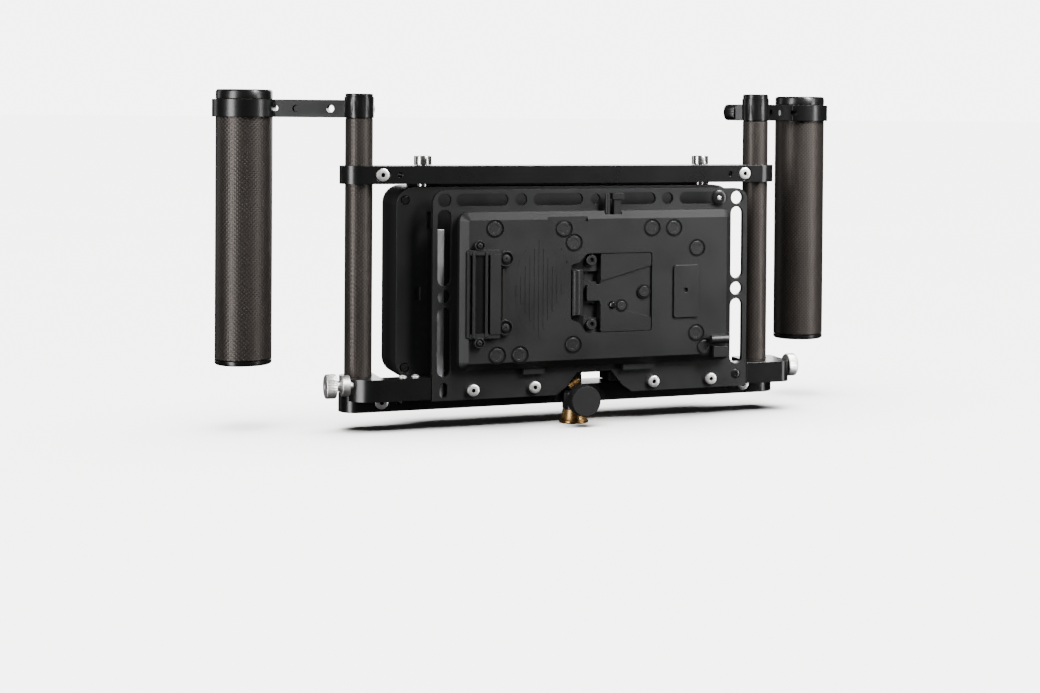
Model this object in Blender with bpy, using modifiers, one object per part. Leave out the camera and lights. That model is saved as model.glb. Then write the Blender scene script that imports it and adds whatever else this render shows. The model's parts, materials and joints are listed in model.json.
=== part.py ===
"""Monitor cage on a stand adapter: carbon posts, clamp bars, swing arms with handles, battery plate."""
import math

import bmesh
import bpy
from mathutils import Matrix, Vector

MM = 0.001

# Fits and rounding, all sizes in millimetres
GAP = 0.3
EDGE = 0.5

# Posts
POST_SPACING = 237.0
POST_RADIUS = 7.5
POST_WALL = 1.5
POST_BASE = 10.0
POST_LENGTH = 159.7
CAP_HEIGHT = {"left": 1.4, "right": 2.4}
STUD_RADIUS = 4.5
INSERT_DEPTH = 15.0
PLUG_DEPTH = 6.0

# Clamp bars across the posts
BAR_HEIGHT = 10.0
BAR_WRAP = 10.5
TOP_BAR_Z = 134.0
BAR_SLIT = 1.6
BAR_SCREW_INSET = 11.0
BAR_PEEP_INSET = 20.5
BAR_PEEP_RADIUS = 1.5

# Socket screws of the clamps and the mounting screws
SCREW_HEAD_RADIUS = 3.6
SCREW_HEAD_HEIGHT = 4.0
SCREW_SHANK_RADIUS = 1.9
SCREW_LENGTH = 13.5
SCREW_SEAT = 4.1
MOUNT_SCREW_X = 83.0
MOUNT_HEAD_RADIUS = 4.9
MOUNT_HEAD_HEIGHT = 5.0
MOUNT_SHANK_RADIUS = 2.9
MOUNT_SHANK_LENGTH = 17.0

# Swing arms and handles
ARM_LENGTH = 63.5
ARM_HEIGHT = 9.7
ARM_BAR_THICKNESS = 6.0
ARM_EYE_RADIUS = 8.0
ARM_RING_RADIUS = 17.3
ARM_BOSS = {"left": 1.8, "right": 3.2}
ARM_LUG_REACH = 11.2
ARM_LUG_WIDTH = 9.0
ARM_HOLE_1 = 15.3
ARM_HOLE_2 = 45.6
ARM_SCREW_HOLE = {"left": 34.2, "right": 28.0}
LEFT_ARM_SWING = 25.0
RIGHT_ARM_SWING = 40.0
HANDLE_RADIUS = 15.25
HANDLE_WALL = 2.0
HANDLE_BASE = 34.8
HANDLE_END = 2.6
HANDLE_CAP = 4.7
ARM_KNOB_RADIUS = 4.8
ARM_KNOB_LENGTH = 7.8

# Monitor
MON_WIDTH = 199.0
MON_HEIGHT = 106.4
MON_DEPTH = 35.0
MON_BACK_Y = -8.0
MON_BASE = 26.0
MON_CORNER = 10.0
MON_EDGE = 4.5
GLASS_WIDTH = 174.0
GLASS_HEIGHT = 97.0
GLASS_THICKNESS = 1.4
PAD_INNER_X = 24.5
PAD_OUTER_X = 75.0
PAD_DEPTH = 18.0
BACK_SCREW_INSET = 4.9
CONTROL_INSET = 6.2
BUTTON_RISE = 12.8
DIAL_DROP = 13.2

# Slotted plate behind the monitor
PLATE_CENTRE_X = 11.0
PLATE_WIDTH = 186.8
PLATE_BASE = 16.0
PLATE_TOP = 131.0
PLATE_FRONT_Y = -21.0
PLATE_THICKNESS = 3.0
PLATE_CORNER = 7.0
SLOT_WIDTH = 7.6
SLOT_INSET = 6.5
SLOT_SCREW_INSET = 18.4
BRACKET_SCREW_INSET = 22.8
ROW_Z = 125.5
ARCH_HALF_TOP = 10.0
ARCH_HALF_KNEE = 16.9
ARCH_HALF_FOOT = 22.5
ARCH_TOP = 28.5
ARCH_KNEE = 20.0
STRAP_TOP = 109.4
STRAP_EDGE = -75.2
STRAP_THICKNESS = 2.0

# Rear brackets
BRACKET_CORNER = {"left": 17.0, "right": 6.0}
BRACKET_OVERHANG = {"left": 9.0, "right": 15.1}
BRACKET_BASE = 17.0
BRACKET_HEIGHT = 12.0
BRACKET_BACK_Y = -11.2
BRACKET_WRAP_Y = 9.5
BRACKET_WRAP_INSET = 10.0
THUMB_Y = -12.4
THUMB_Z = 25.6
THUMB_RADIUS = 6.6
THUMB_HEAD = 5.6
THUMB_SHANK = 2.0
THUMB_COLLAR = 5.7
THUMB_REACH = {"left": 7.2, "right": 0.0}
THUMB_SEAT = {"left": -1.5, "right": 0.3}

# Battery plate
BATTERY_LEFT = -68.7
BATTERY_RIGHT = 92.0
BATTERY_BASE = 32.5
BATTERY_TOP = 119.0
BATTERY_FRONT_Y = -30.0
BATTERY_CHAMFER = 4.2
BATTERY_CORNER = 4.6
DIMPLE_RADIUS = 5.1
DIMPLE_DEPTH = 0.5
DIMPLES = ((-50.1, 110.0), (-10.5, 109.4), (-4.6, 101.6), (41.7, 109.2), (55.0, 109.0), (69.2, 97.3),
           (69.1, 48.8), (74.5, 40.6), (-4.8, 44.9), (-48.4, 40.6), (-35.5, 40.4))
LOCK_LEFT = -6.2
LOCK_RIGHT = 42.0
LOCK_BASE = 51.2
LOCK_TOP = 95.6
LOCK_DEPTH = 3.4
POCKET_DEPTH = 5.6
WEDGE_THICKNESS = 2.6
LATCH_X = 18.6
LATCH_Z = 66.4
CONTACT_INSET = 2.1
CONTACT_WIDTH = 22.0
CONTACT_HEIGHT = 50.4
CONTACT_DEPTH = 3.4
CONTACT_DROP = 1.1

# Stand adapter
ADAPTER_Y = -18.0
SPIGOT_RADIUS = 8.2
SPIGOT_NECK_RADIUS = 6.3
SPIGOT_CONE = 8.0
SPIGOT_STUD = 4.0
SOCKET_RADIUS = 6.5
SOCKET_TOP = 17.8
KNOB_RADIUS = 8.7
KNOB_Z = 14.5
KNOB_SHANK = 1.9
KNOB_FRONT_Y = -40.0
KNOB_THICKNESS = 9.0

# Heights and places worked out from the sizes above
POST_X = POST_SPACING / 2
POST_TOP = POST_BASE + POST_LENGTH
ARM_Z = POST_TOP + GAP
ARM_TOP = ARM_Z + ARM_HEIGHT
ARM_MID = ARM_Z + ARM_HEIGHT / 2
BAR_TOP = POST_BASE + BAR_HEIGHT
MON_TOP = MON_BASE + MON_HEIGHT
MON_MID = MON_BASE + MON_HEIGHT / 2
MON_FRONT_Y = MON_BACK_Y + MON_DEPTH
CONTROL_X = MON_WIDTH / 2 - CONTROL_INSET
PLATE_BACK_Y = PLATE_FRONT_Y + PLATE_THICKNESS
SLOT_COLUMN = PLATE_WIDTH / 2 - SLOT_INSET
BATTERY_MID = (BATTERY_BASE + BATTERY_TOP) / 2
CONTACT_LEFT = BATTERY_LEFT + CONTACT_INSET
CONTACT_RIGHT = CONTACT_LEFT + CONTACT_WIDTH
CONTACT_BASE = BATTERY_MID - CONTACT_DROP - CONTACT_HEIGHT / 2
CONTACT_TOP = CONTACT_BASE + CONTACT_HEIGHT
BRACKET_TOP = BRACKET_BASE + BRACKET_HEIGHT
HANDLE_TOP = ARM_TOP + GAP
HANDLE_TUBE_BASE = HANDLE_BASE + HANDLE_END + GAP
UP = Vector((0, 0, 1))
CAMERA_SIDE = Vector((0, -1, 0))


def material(name, colour, roughness, metallic):
    mat = bpy.data.materials.new(name)
    mat.use_nodes = True
    shader = mat.node_tree.nodes["Principled BSDF"]
    shader.inputs["Base Color"].default_value = (*colour, 1.0)
    shader.inputs["Roughness"].default_value = roughness
    shader.inputs["Metallic"].default_value = metallic
    mat.diffuse_color = (*colour, 1.0)
    return mat


CARBON = ((0.03, 0.03, 0.032), 0.25, 0.0)
BLACK = ((0.025, 0.025, 0.027), 0.45, 0.3)
SILVER = ((0.82, 0.82, 0.8), 0.25, 1.0)
ALUMINIUM = ((0.75, 0.76, 0.77), 0.35, 1.0)
BRASS = ((0.75, 0.5, 0.22), 0.3, 1.0)
PLASTIC = ((0.03, 0.03, 0.033), 0.5, 0.0)
RUBBER = ((0.02, 0.02, 0.02), 0.8, 0.0)
GLASS = ((0.01, 0.01, 0.012), 0.08, 0.0)


def turn_to(direction):
    """Rotation that points local +Z along the direction."""
    return UP.rotation_difference(Vector(direction).normalized()).to_matrix().to_4x4()


def frame_at(origin, direction=UP):
    return Matrix.Translation(Vector(origin) * MM) @ turn_to(direction)


def finish(name, mesh, look, origin=(0, 0, 0), direction=UP):
    """Put a mesh made in its own frame into the scene as one named piece."""
    mesh.name = name
    obj = bpy.data.objects.new(name, mesh)
    place = frame_at(origin, direction)
    obj.rotation_mode = "QUATERNION"
    obj.location = place.to_translation()
    obj.rotation_quaternion = place.to_quaternion()
    home = bpy.data.collections.new(name)
    bpy.context.scene.collection.children.link(home)
    home.objects.link(obj)
    mesh.materials.clear()
    mesh.materials.append(material(name + "_finish", *look))
    mesh.shade_smooth()
    mesh.set_sharp_from_angle(angle=math.radians(32))
    return obj


def helper_object(name, mesh, collection="cutters"):
    obj = bpy.data.objects.new(name, mesh)
    home = bpy.data.collections.get(collection)
    if home is None:
        home = bpy.data.collections.new(collection)
        bpy.context.scene.collection.children.link(home)
    home.objects.link(obj)
    obj.hide_render = True
    obj.display_type = "WIRE"
    return obj


def mesh_from(bm, name="mesh"):
    bmesh.ops.recalc_face_normals(bm, faces=bm.faces)
    mesh = bpy.data.meshes.new(name)
    bm.to_mesh(mesh)
    bm.free()
    return mesh


def add_box(bm, low, high):
    low = Vector(low) * MM
    high = Vector(high) * MM
    size = high - low
    grow = Matrix.Translation((low + high) / 2) @ Matrix.Diagonal((*size, 1.0))
    return bmesh.ops.create_cube(bm, size=1.0, matrix=grow)["verts"]


def add_rod(bm, radius, start, end, segments=20, tip=None):
    start = Vector(start) * MM
    end = Vector(end) * MM
    axis = end - start
    place = Matrix.Translation((start + end) / 2) @ turn_to(axis)
    tip = radius if tip is None else tip
    return bmesh.ops.create_cone(bm, cap_ends=True, segments=segments, radius1=radius * MM, radius2=tip * MM,
                                 depth=axis.length, matrix=place)["verts"]


def box(low, high):
    bm = bmesh.new()
    add_box(bm, low, high)
    return mesh_from(bm)


def cut(obj, fill, solver="EXACT", operation="DIFFERENCE"):
    """Cut with one helper object whose solids the fill function adds, in world millimetres."""
    bm = bmesh.new()
    fill(bm)
    tool = helper_object(obj.name + "_tool", mesh_from(bm))
    mod = obj.modifiers.new("cut", "BOOLEAN")
    mod.operation = operation
    mod.solver = solver
    mod.use_self = True
    mod.object = tool
    return tool


def soften(obj, width, segments=1, angle=50.0):
    mod = obj.modifiers.new("soften", "BEVEL")
    mod.width = width * MM
    mod.segments = segments
    mod.limit_method = "ANGLE"
    mod.angle_limit = math.radians(angle)
    return mod


def circle(x, y, radius, segments=28, start=0.0):
    step = 2 * math.pi / segments
    return [(x + radius * math.cos(start + i * step), y + radius * math.sin(start + i * step))
            for i in range(segments)]


def arc(x, y, radius, start, stop, segments):
    """Points on an arc, angles in degrees, both ends included."""
    return [(x + radius * math.cos(math.radians(start + (stop - start) * i / segments)),
             y + radius * math.sin(math.radians(start + (stop - start) * i / segments)))
            for i in range(segments + 1)]


def rounded(left, right, low, high, radius, segments=6):
    points = []
    points += arc(right - radius, high - radius, radius, 0, 90, segments)
    points += arc(left + radius, high - radius, radius, 90, 180, segments)
    points += arc(left + radius, low + radius, radius, 180, 270, segments)
    points += arc(right - radius, low + radius, radius, 270, 360, segments)
    return points


def slot_x(left, right, z, width):
    return rounded(left, right, z - width / 2, z + width / 2, width / 2 - 0.01, 5)


def slot_z(x, low, high, width):
    return rounded(x - width / 2, x + width / 2, low, high, width / 2 - 0.01, 5)


def round_corners(corners, radius, segments=3):
    """Outline with each corner cut to a rounding of the radius, kept shorter on short sides."""
    points = []
    count = len(corners)
    for index, corner in enumerate(corners):
        here = Vector(corner)
        before = Vector(corners[index - 1]) - here
        after = Vector(corners[(index + 1) % count]) - here
        reach = min(radius, before.length * 0.45, after.length * 0.45)
        start = here + before.normalized() * reach
        stop = here + after.normalized() * reach
        for step in range(segments + 1):
            part = step / segments
            point = start * (1 - part) ** 2 + here * 2 * part * (1 - part) + stop * part ** 2
            points.append((point.x, point.y))
    return points


def flat(loops, low, high, upright=False):
    """Solid from closed outlines; upright outlines are x and z, with the thickness along y."""
    curve = bpy.data.curves.new("outline", "CURVE")
    curve.dimensions = "2D"
    curve.fill_mode = "BOTH"
    curve.extrude = (high - low) / 2 * MM
    for loop in loops:
        spline = curve.splines.new("POLY")
        spline.points.add(len(loop) - 1)
        for point, (x, y) in zip(spline.points, loop):
            point.co = (x * MM, y * MM, 0.0, 1.0)
        spline.use_cyclic_u = True
    holder = bpy.data.objects.new("outline", curve)
    bpy.context.scene.collection.objects.link(holder)
    bpy.context.view_layer.update()
    mesh = bpy.data.meshes.new_from_object(holder.evaluated_get(bpy.context.evaluated_depsgraph_get()))
    bpy.data.objects.remove(holder)
    bpy.data.curves.remove(curve)
    middle = (low + high) / 2 * MM
    if upright:
        mesh.transform(Matrix.Translation((0, middle, 0)) @ Matrix.Rotation(math.pi / 2, 4, "X"))
    else:
        mesh.transform(Matrix.Translation((0, 0, middle)))
    bm = bmesh.new()
    bm.from_mesh(mesh)
    bmesh.ops.remove_doubles(bm, verts=bm.verts, dist=1e-6)
    bmesh.ops.recalc_face_normals(bm, faces=bm.faces)
    bm.to_mesh(mesh)
    bm.free()
    return mesh


def turned(name, profile, look, origin, direction=UP, segments=32, closed=False):
    """Body of revolution: profile of (radius, height) from the top down the outside."""
    mesh = bpy.data.meshes.new(name)
    edges = [(i, i + 1) for i in range(len(profile) - 1)]
    if closed:
        edges.append((len(profile) - 1, 0))
    mesh.from_pydata([(r * MM, 0, z * MM) for r, z in profile], edges, [])
    obj = finish(name, mesh, look, origin, direction)
    mod = obj.modifiers.new("turn", "SCREW")
    mod.axis = "Z"
    mod.angle = 2 * math.pi
    mod.screw_offset = 0
    mod.iterations = 1
    mod.steps = segments
    mod.render_steps = segments
    mod.use_merge_vertices = True
    mod.merge_threshold = 0.00001
    mod.use_smooth_shade = True
    return obj


def ripple(radius, depth, count, start=0.0):
    """Outline of a knurled grip."""
    points = []
    for i in range(count):
        for step, inset in ((0.0, depth), (0.5, 0.0)):
            angle = start + 2 * math.pi * (i + step) / count
            points.append(((radius - inset) * math.cos(angle), (radius - inset) * math.sin(angle)))
    return points


def add_screw(bm, origin, direction, head_radius, head_height, shank_radius, shank_length, socket=1.6):
    """Socket screw: under-head face at the origin, head along the direction."""
    origin = Vector(origin)
    direction = Vector(direction).normalized()
    place = Matrix.Translation(origin * MM) @ turn_to(direction)
    rings = [(shank_radius, -shank_length), (shank_radius, 0.0), (head_radius, 0.0),
             (head_radius, head_height - 0.5), (head_radius - 0.5, head_height),
             (socket * 1.15, head_height), (socket * 1.15, head_height * 0.4)]
    segments = 16
    loops = []
    for index, (radius, height) in enumerate(rings):
        ring = bmesh.ops.create_circle(bm, cap_ends=index in (0, len(rings) - 1), segments=segments,
                                       radius=radius * MM)["verts"]
        bmesh.ops.translate(bm, verts=ring, vec=(0, 0, height * MM))
        bmesh.ops.transform(bm, verts=ring, matrix=place)
        loops.append(ring)
    for lower, upper in zip(loops, loops[1:]):
        edges = [e for v in lower for e in v.link_edges if e.other_vert(v) in set(lower)]
        edges += [e for v in upper for e in v.link_edges if e.other_vert(v) in set(upper)]
        bmesh.ops.bridge_loops(bm, edges=list(set(edges)))


def screw(name, origin, direction, look, **sizes):
    """One screw as its own piece, its origin under its head."""
    bm = bmesh.new()
    add_screw(bm, (0, 0, 0), UP, **sizes)
    return finish(name, mesh_from(bm), look, origin, direction)


def stud(name, rods, look):
    """Short turned pin from rods that share an end, each (radius, start, end, tip radius)."""
    bm = bmesh.new()
    for radius, start, end, tip in rods:
        add_rod(bm, radius, start, end, 24, tip)
    return finish(name, mesh_from(bm), look)


# Posts with their inserts, caps and foot plugs
def build_posts():
    inner = POST_RADIUS - POST_WALL
    half = POST_LENGTH
    for side, name in ((-1, "left"), (1, "right")):
        x = side * POST_X
        ring = [(POST_RADIUS, half), (POST_RADIUS, 0), (inner, 0), (inner, half)]
        turned(name + "_post", ring, CARBON, (x, 0, POST_BASE), closed=True)
        top = CAP_HEIGHT[name]
        boss = ARM_BOSS[name]
        reach = ARM_HEIGHT + boss + 2 * GAP + INSERT_DEPTH - 2.0
        cap = [(0, top), (POST_RADIUS - 0.5, top), (POST_RADIUS, top - 0.5), (POST_RADIUS, 0),
               (STUD_RADIUS, 0), (STUD_RADIUS, -reach), (0, -reach)]
        turned(name + "_post_cap", cap, BLACK, (x, 0, ARM_TOP + boss + GAP))
    collar = inner - GAP
    bore = STUD_RADIUS + GAP
    for side, name in ((-1, "left"), (1, "right")):
        sleeve = flat([circle(0, 0, collar), circle(0, 0, bore, 32)], 0, INSERT_DEPTH)
        finish(name + "_post_insert", sleeve, ALUMINIUM, (side * POST_X, 0, POST_TOP - INSERT_DEPTH))
        plug = flat([circle(0, 0, collar)], 0, PLUG_DEPTH)
        finish(name + "_post_foot", plug, BLACK, (side * POST_X, 0, POST_BASE))


# Clamp bars at the top and bottom of the posts
def bar_outline():
    points = arc(-POST_X, 0, BAR_WRAP, 90, 270, 14)
    points += arc(POST_X, 0, BAR_WRAP, -90, 90, 14)
    return points


def build_bar(name, low):
    bore = POST_RADIUS + GAP
    loops = [bar_outline(), circle(-POST_X, 0, bore, 32), circle(POST_X, 0, bore, 32)]
    bar = finish(name, flat(loops, low, low + BAR_HEIGHT), BLACK)
    middle = low + BAR_HEIGHT / 2
    slit_end = POST_X - BAR_PEEP_INSET + 3.0

    def fill(bm):
        for side in (-1, 1):
            xs = sorted((side * slit_end, side * (POST_X - POST_RADIUS + 1.0)))
            add_box(bm, (xs[0], -BAR_SLIT / 2, low - 1), (xs[1], BAR_SLIT / 2, low + BAR_HEIGHT + 1))

    def bores(bm):
        for side in (-1, 1):
            x = side * (POST_X - BAR_SCREW_INSET)
            seat = -BAR_WRAP + SCREW_SEAT
            add_rod(bm, SCREW_HEAD_RADIUS + 0.6, (x, -BAR_WRAP - 1, middle), (x, seat, middle))
            peep = side * (POST_X - BAR_PEEP_INSET)
            add_rod(bm, BAR_PEEP_RADIUS, (peep, -BAR_WRAP - 1, middle), (peep, BAR_WRAP + 1, middle), 20)

    def shanks(bm):
        for side in (-1, 1):
            x = side * (POST_X - BAR_SCREW_INSET)
            add_rod(bm, SCREW_SHANK_RADIUS + GAP, (x, -BAR_WRAP, middle), (x, BAR_WRAP - 3.0, middle), 18)
            if low > POST_BASE:
                add_rod(bm, MOUNT_SHANK_RADIUS + GAP, (side * MOUNT_SCREW_X, 0, low - 1),
                        (side * MOUNT_SCREW_X, 0, low + BAR_HEIGHT + 1), 18)

    cut(bar, fill)
    cut(bar, bores)
    cut(bar, shanks)
    for side, end in ((-1, "left"), (1, "right")):
        seat = (side * (POST_X - BAR_SCREW_INSET), -BAR_WRAP + SCREW_SEAT - GAP, middle)
        screw(f"{name}_screw_{end}", seat, CAMERA_SIDE, SILVER, head_radius=SCREW_HEAD_RADIUS,
              head_height=SCREW_HEAD_HEIGHT, shank_radius=SCREW_SHANK_RADIUS, shank_length=SCREW_LENGTH)


# Screws through the top bar into the monitor, and the pads under it
def build_monitor_fixings():
    for side, end in ((-1, "left"), (1, "right")):
        seat = (side * MOUNT_SCREW_X, 0, TOP_BAR_Z + BAR_HEIGHT + GAP)
        screw(f"top_mount_screw_{end}", seat, UP, SILVER, head_radius=MOUNT_HEAD_RADIUS,
              head_height=MOUNT_HEAD_HEIGHT, shank_radius=MOUNT_SHANK_RADIUS,
              shank_length=MOUNT_SHANK_LENGTH, socket=2.4)
        xs = sorted((side * PAD_INNER_X, side * PAD_OUTER_X))
        pad = box((xs[0], -PAD_DEPTH / 2, BAR_TOP + GAP), (xs[1], PAD_DEPTH / 2, MON_BASE - GAP))
        finish(f"rest_pad_{end}", pad, RUBBER)


# Swing arms, their knobs and grub screws
def arm_outline(side):
    """Outline with the post eye at the origin, the ring at +X and the lug on the inboard side."""
    half = ARM_BAR_THICKNESS / 2
    eye = math.degrees(math.asin(half / ARM_EYE_RADIUS))
    ring = math.degrees(math.asin(half / ARM_RING_RADIUS))
    lug = math.degrees(math.acos(ARM_LUG_WIDTH / 2 / ARM_EYE_RADIUS))
    points = arc(0, 0, ARM_EYE_RADIUS, eye, lug, 5)
    points += [(ARM_LUG_WIDTH / 2, ARM_LUG_REACH), (-ARM_LUG_WIDTH / 2, ARM_LUG_REACH)]
    points += arc(0, 0, ARM_EYE_RADIUS, 180 - lug, 360 - eye, 14)
    points += arc(ARM_LENGTH, 0, ARM_RING_RADIUS, 180 + ring, 540 - ring, 30)
    return [(x, y * side) for x, y in points]


def arm_frame(side):
    swing = LEFT_ARM_SWING if side < 0 else RIGHT_ARM_SWING
    angle = math.radians(180 - swing) if side < 0 else math.radians(swing)
    return angle, Matrix.Translation((side * POST_X * MM, 0, 0)) @ Matrix.Rotation(angle, 4, "Z")


def build_arm(side, name):
    angle, place = arm_frame(side)
    loops = [arm_outline(side), circle(ARM_LENGTH, 0, HANDLE_RADIUS + GAP, 40)]
    mesh = flat(loops, ARM_Z, ARM_TOP)
    mesh.transform(Matrix.Rotation(angle, 4, "Z"))
    arm = finish(name + "_arm", mesh, BLACK, (side * POST_X, 0, 0))
    soften(arm, EDGE, 1, 60)
    boss = ARM_TOP + ARM_BOSS[name]
    grub = ARM_SCREW_HOLE[name]

    def rise(bm):
        add_rod(bm, ARM_EYE_RADIUS, (0, 0, ARM_TOP - 1.0), (0, 0, boss), 32)
        bmesh.ops.transform(bm, matrix=place, verts=bm.verts)

    def fill(bm):
        add_rod(bm, STUD_RADIUS + GAP, (0, 0, ARM_Z - 1), (0, 0, boss + 1), 28)
        add_rod(bm, 2.1, (ARM_HOLE_1, -9, ARM_MID), (ARM_HOLE_1, 9, ARM_MID), 24)
        add_rod(bm, 1.6, (ARM_HOLE_2, -9, ARM_MID), (ARM_HOLE_2, 9, ARM_MID), 18)
        add_rod(bm, 2.0, (grub, -side * 9, ARM_MID), (grub, side * 0.5, ARM_MID), 18)
        add_rod(bm, 2.0 + GAP, (0, side * 14, ARM_MID), (0, side * 4, ARM_MID), 18)
        slope = add_box(bm, (-8, ARM_LUG_REACH - 1.7, ARM_TOP), (8, ARM_LUG_REACH + 3.3, ARM_TOP + 5))
        for v in slope:
            v.co.y *= side
        bmesh.ops.rotate(bm, verts=slope, cent=(0, side * ARM_LUG_REACH * MM, ARM_TOP * MM),
                         matrix=Matrix.Rotation(side * math.radians(-45), 3, "X"))
        bmesh.ops.translate(bm, verts=slope, vec=(0, side * -0.6 * MM, -1.0 * MM))
        bmesh.ops.transform(bm, matrix=place, verts=bm.verts)

    cut(arm, rise, operation="UNION")
    cut(arm, fill)
    knob_axis = place.to_3x3() @ Vector((0, side, 0))
    foot = place @ (Vector((0, side * (ARM_LUG_REACH + GAP), ARM_MID)) * MM)
    grip = (ARM_KNOB_RADIUS, ARM_KNOB_LENGTH, 20)
    build_grip(name + "_arm_knob", foot / MM, knob_axis, grip, 2.0, ARM_LUG_REACH - STUD_RADIUS - GAP, BLACK)


def build_grip(name, foot, axis, grip, shank_radius, shank_length, look):
    """Knurled thumb knob standing on its foot along the axis, with its screw going the other way."""
    radius, length, flutes = grip
    knob = finish(name, flat([ripple(radius, radius * 0.06, flutes)], 0.0, length), look, foot, axis)
    bm = bmesh.new()
    add_rod(bm, shank_radius, (0, 0, -shank_length), (0, 0, 1.0), 18)
    tool = helper_object(name + "_shank", mesh_from(bm))
    tool.matrix_world = frame_at(foot, axis)
    mod = knob.modifiers.new("shank", "BOOLEAN")
    mod.operation = "UNION"
    mod.solver = "EXACT"
    mod.object = tool
    return knob


# Handles with their caps
def build_handle(side, name):
    angle, place = arm_frame(side)
    centre = place @ Vector((ARM_LENGTH * MM, 0, 0)) / MM
    inner = HANDLE_RADIUS - HANDLE_WALL
    length = HANDLE_TOP - HANDLE_TUBE_BASE
    ring = [(HANDLE_RADIUS, length), (HANDLE_RADIUS, 0), (inner, 0), (inner, length)]
    turned(name + "_handle", ring, CARBON, (centre.x, centre.y, HANDLE_TUBE_BASE), segments=40, closed=True)
    plug = inner - GAP
    top = HANDLE_CAP
    cap = [(0, top), (HANDLE_RADIUS - 1.2, top), (HANDLE_RADIUS, top - 1.2), (HANDLE_RADIUS, 0),
           (plug, 0), (plug, -PLUG_DEPTH), (0, -PLUG_DEPTH)]
    turned(name + "_handle_cap", cap, BLACK, (centre.x, centre.y, HANDLE_TOP + GAP), segments=40)
    end = [(0, HANDLE_END + PLUG_DEPTH), (plug, HANDLE_END + PLUG_DEPTH), (plug, HANDLE_END),
           (HANDLE_RADIUS, HANDLE_END), (HANDLE_RADIUS, 0.8), (HANDLE_RADIUS - 0.8, 0), (0, 0)]
    turned(name + "_handle_end", end, BLACK, (centre.x, centre.y, HANDLE_BASE), segments=40)


# Monitor
def build_monitor():
    half = MON_WIDTH / 2
    outline = rounded(-half, half, MON_BASE, MON_TOP, MON_CORNER, 6)
    shell = finish("monitor_shell", flat([outline], MON_BACK_Y, MON_FRONT_Y, upright=True), PLASTIC)
    soften(shell, MON_EDGE, 3, 60)
    glass = (GLASS_WIDTH / 2, GLASS_HEIGHT / 2)
    button_z = MON_MID + BUTTON_RISE
    dial_z = MON_MID - DIAL_DROP

    def fill(bm):
        add_box(bm, (-glass[0] - GAP, MON_FRONT_Y - GLASS_THICKNESS - GAP, MON_MID - glass[1] - GAP),
                (glass[0] + GAP, MON_FRONT_Y + 3, MON_MID + glass[1] + GAP))
        for side in (-1, 1):
            add_rod(bm, MOUNT_SHANK_RADIUS + GAP, (side * MOUNT_SCREW_X, 0, MON_TOP - 9),
                    (side * MOUNT_SCREW_X, 0, MON_TOP + 5), 18)
            for z in (MON_BASE + BACK_SCREW_INSET + 2.4, MON_TOP - BACK_SCREW_INSET - 2.4):
                x = side * (half - BACK_SCREW_INSET)
                add_rod(bm, 2.6, (x, MON_BACK_Y - 5, z), (x, MON_BACK_Y + 2.0, z), 18)
        add_box(bm, (-82.4, MON_BACK_Y - 1, 109.7), (-79.8, MON_BACK_Y + 1.2, 118.6))
        add_box(bm, (-88.9, MON_BACK_Y - 1, 70.2), (-86.0, MON_BACK_Y + 0.8, 77.5))
        for z, radius, depth in ((button_z, 2.6, 3.6), (dial_z, 3.2, 2.5)):
            outer = (CONTROL_X, MON_FRONT_Y + 3, z)
            add_rod(bm, radius + GAP, (CONTROL_X, MON_FRONT_Y - depth, z), outer, 24)

    cut(shell, fill)
    pane = rounded(-glass[0], glass[0], MON_MID - glass[1], MON_MID + glass[1], 0.4, 2)
    finish("monitor_glass", flat([pane], MON_FRONT_Y - GLASS_THICKNESS, MON_FRONT_Y, upright=True), GLASS)
    places = [(side * (half - BACK_SCREW_INSET), MON_BACK_Y + 1.7, z) for side in (-1, 1)
              for z in (MON_BASE + BACK_SCREW_INSET + 2.4, MON_TOP - BACK_SCREW_INSET - 2.4)]
    corners = ("lower_left", "upper_left", "lower_right", "upper_right")
    for corner, (x, y, z) in zip(corners, places):
        stud("back_screw_" + corner, [(2.3, (x, y, z), (x, MON_BACK_Y - 0.3, z), 2.0)], BLACK)
    button = [(0, 3.4), (2.2, 3.4), (2.6, 3.0), (2.6, 0), (0, 0)]
    turned("power_button", button, PLASTIC, (CONTROL_X, MON_FRONT_Y - 2.2, button_z), (0, 1, 0), 24)
    dial = flat([ripple(3.2, 0.2, 16)], 0.0, 4.6)
    finish("menu_dial", dial, PLASTIC, (CONTROL_X, MON_FRONT_Y - 2.2, dial_z), (0, 1, 0))


# Slotted plate with its strap and screw
def plate_outline():
    left = PLATE_CENTRE_X - PLATE_WIDTH / 2
    right = PLATE_CENTRE_X + PLATE_WIDTH / 2
    points = arc(right - PLATE_CORNER, PLATE_TOP - PLATE_CORNER, PLATE_CORNER, 0, 90, 8)
    points += arc(left + PLATE_CORNER, PLATE_TOP - PLATE_CORNER, PLATE_CORNER, 90, 180, 8)
    arch = [(ARCH_HALF_FOOT, PLATE_BASE), (ARCH_HALF_KNEE, ARCH_KNEE), (ARCH_HALF_TOP, ARCH_TOP)]
    points += [(left, PLATE_BASE)]
    points += [(PLATE_CENTRE_X - x, z) for x, z in arch]
    points += [(PLATE_CENTRE_X + x, z) for x, z in reversed(arch)]
    points += [(right, PLATE_BASE)]
    return points


def bracket_screw_places():
    outer = PLATE_WIDTH / 2 - BRACKET_SCREW_INSET
    height = BRACKET_BASE + BRACKET_HEIGHT * 0.35
    return [(PLATE_CENTRE_X + side * offset, height) for side in (-1, 1) for offset in (outer / 2, outer)]


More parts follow.
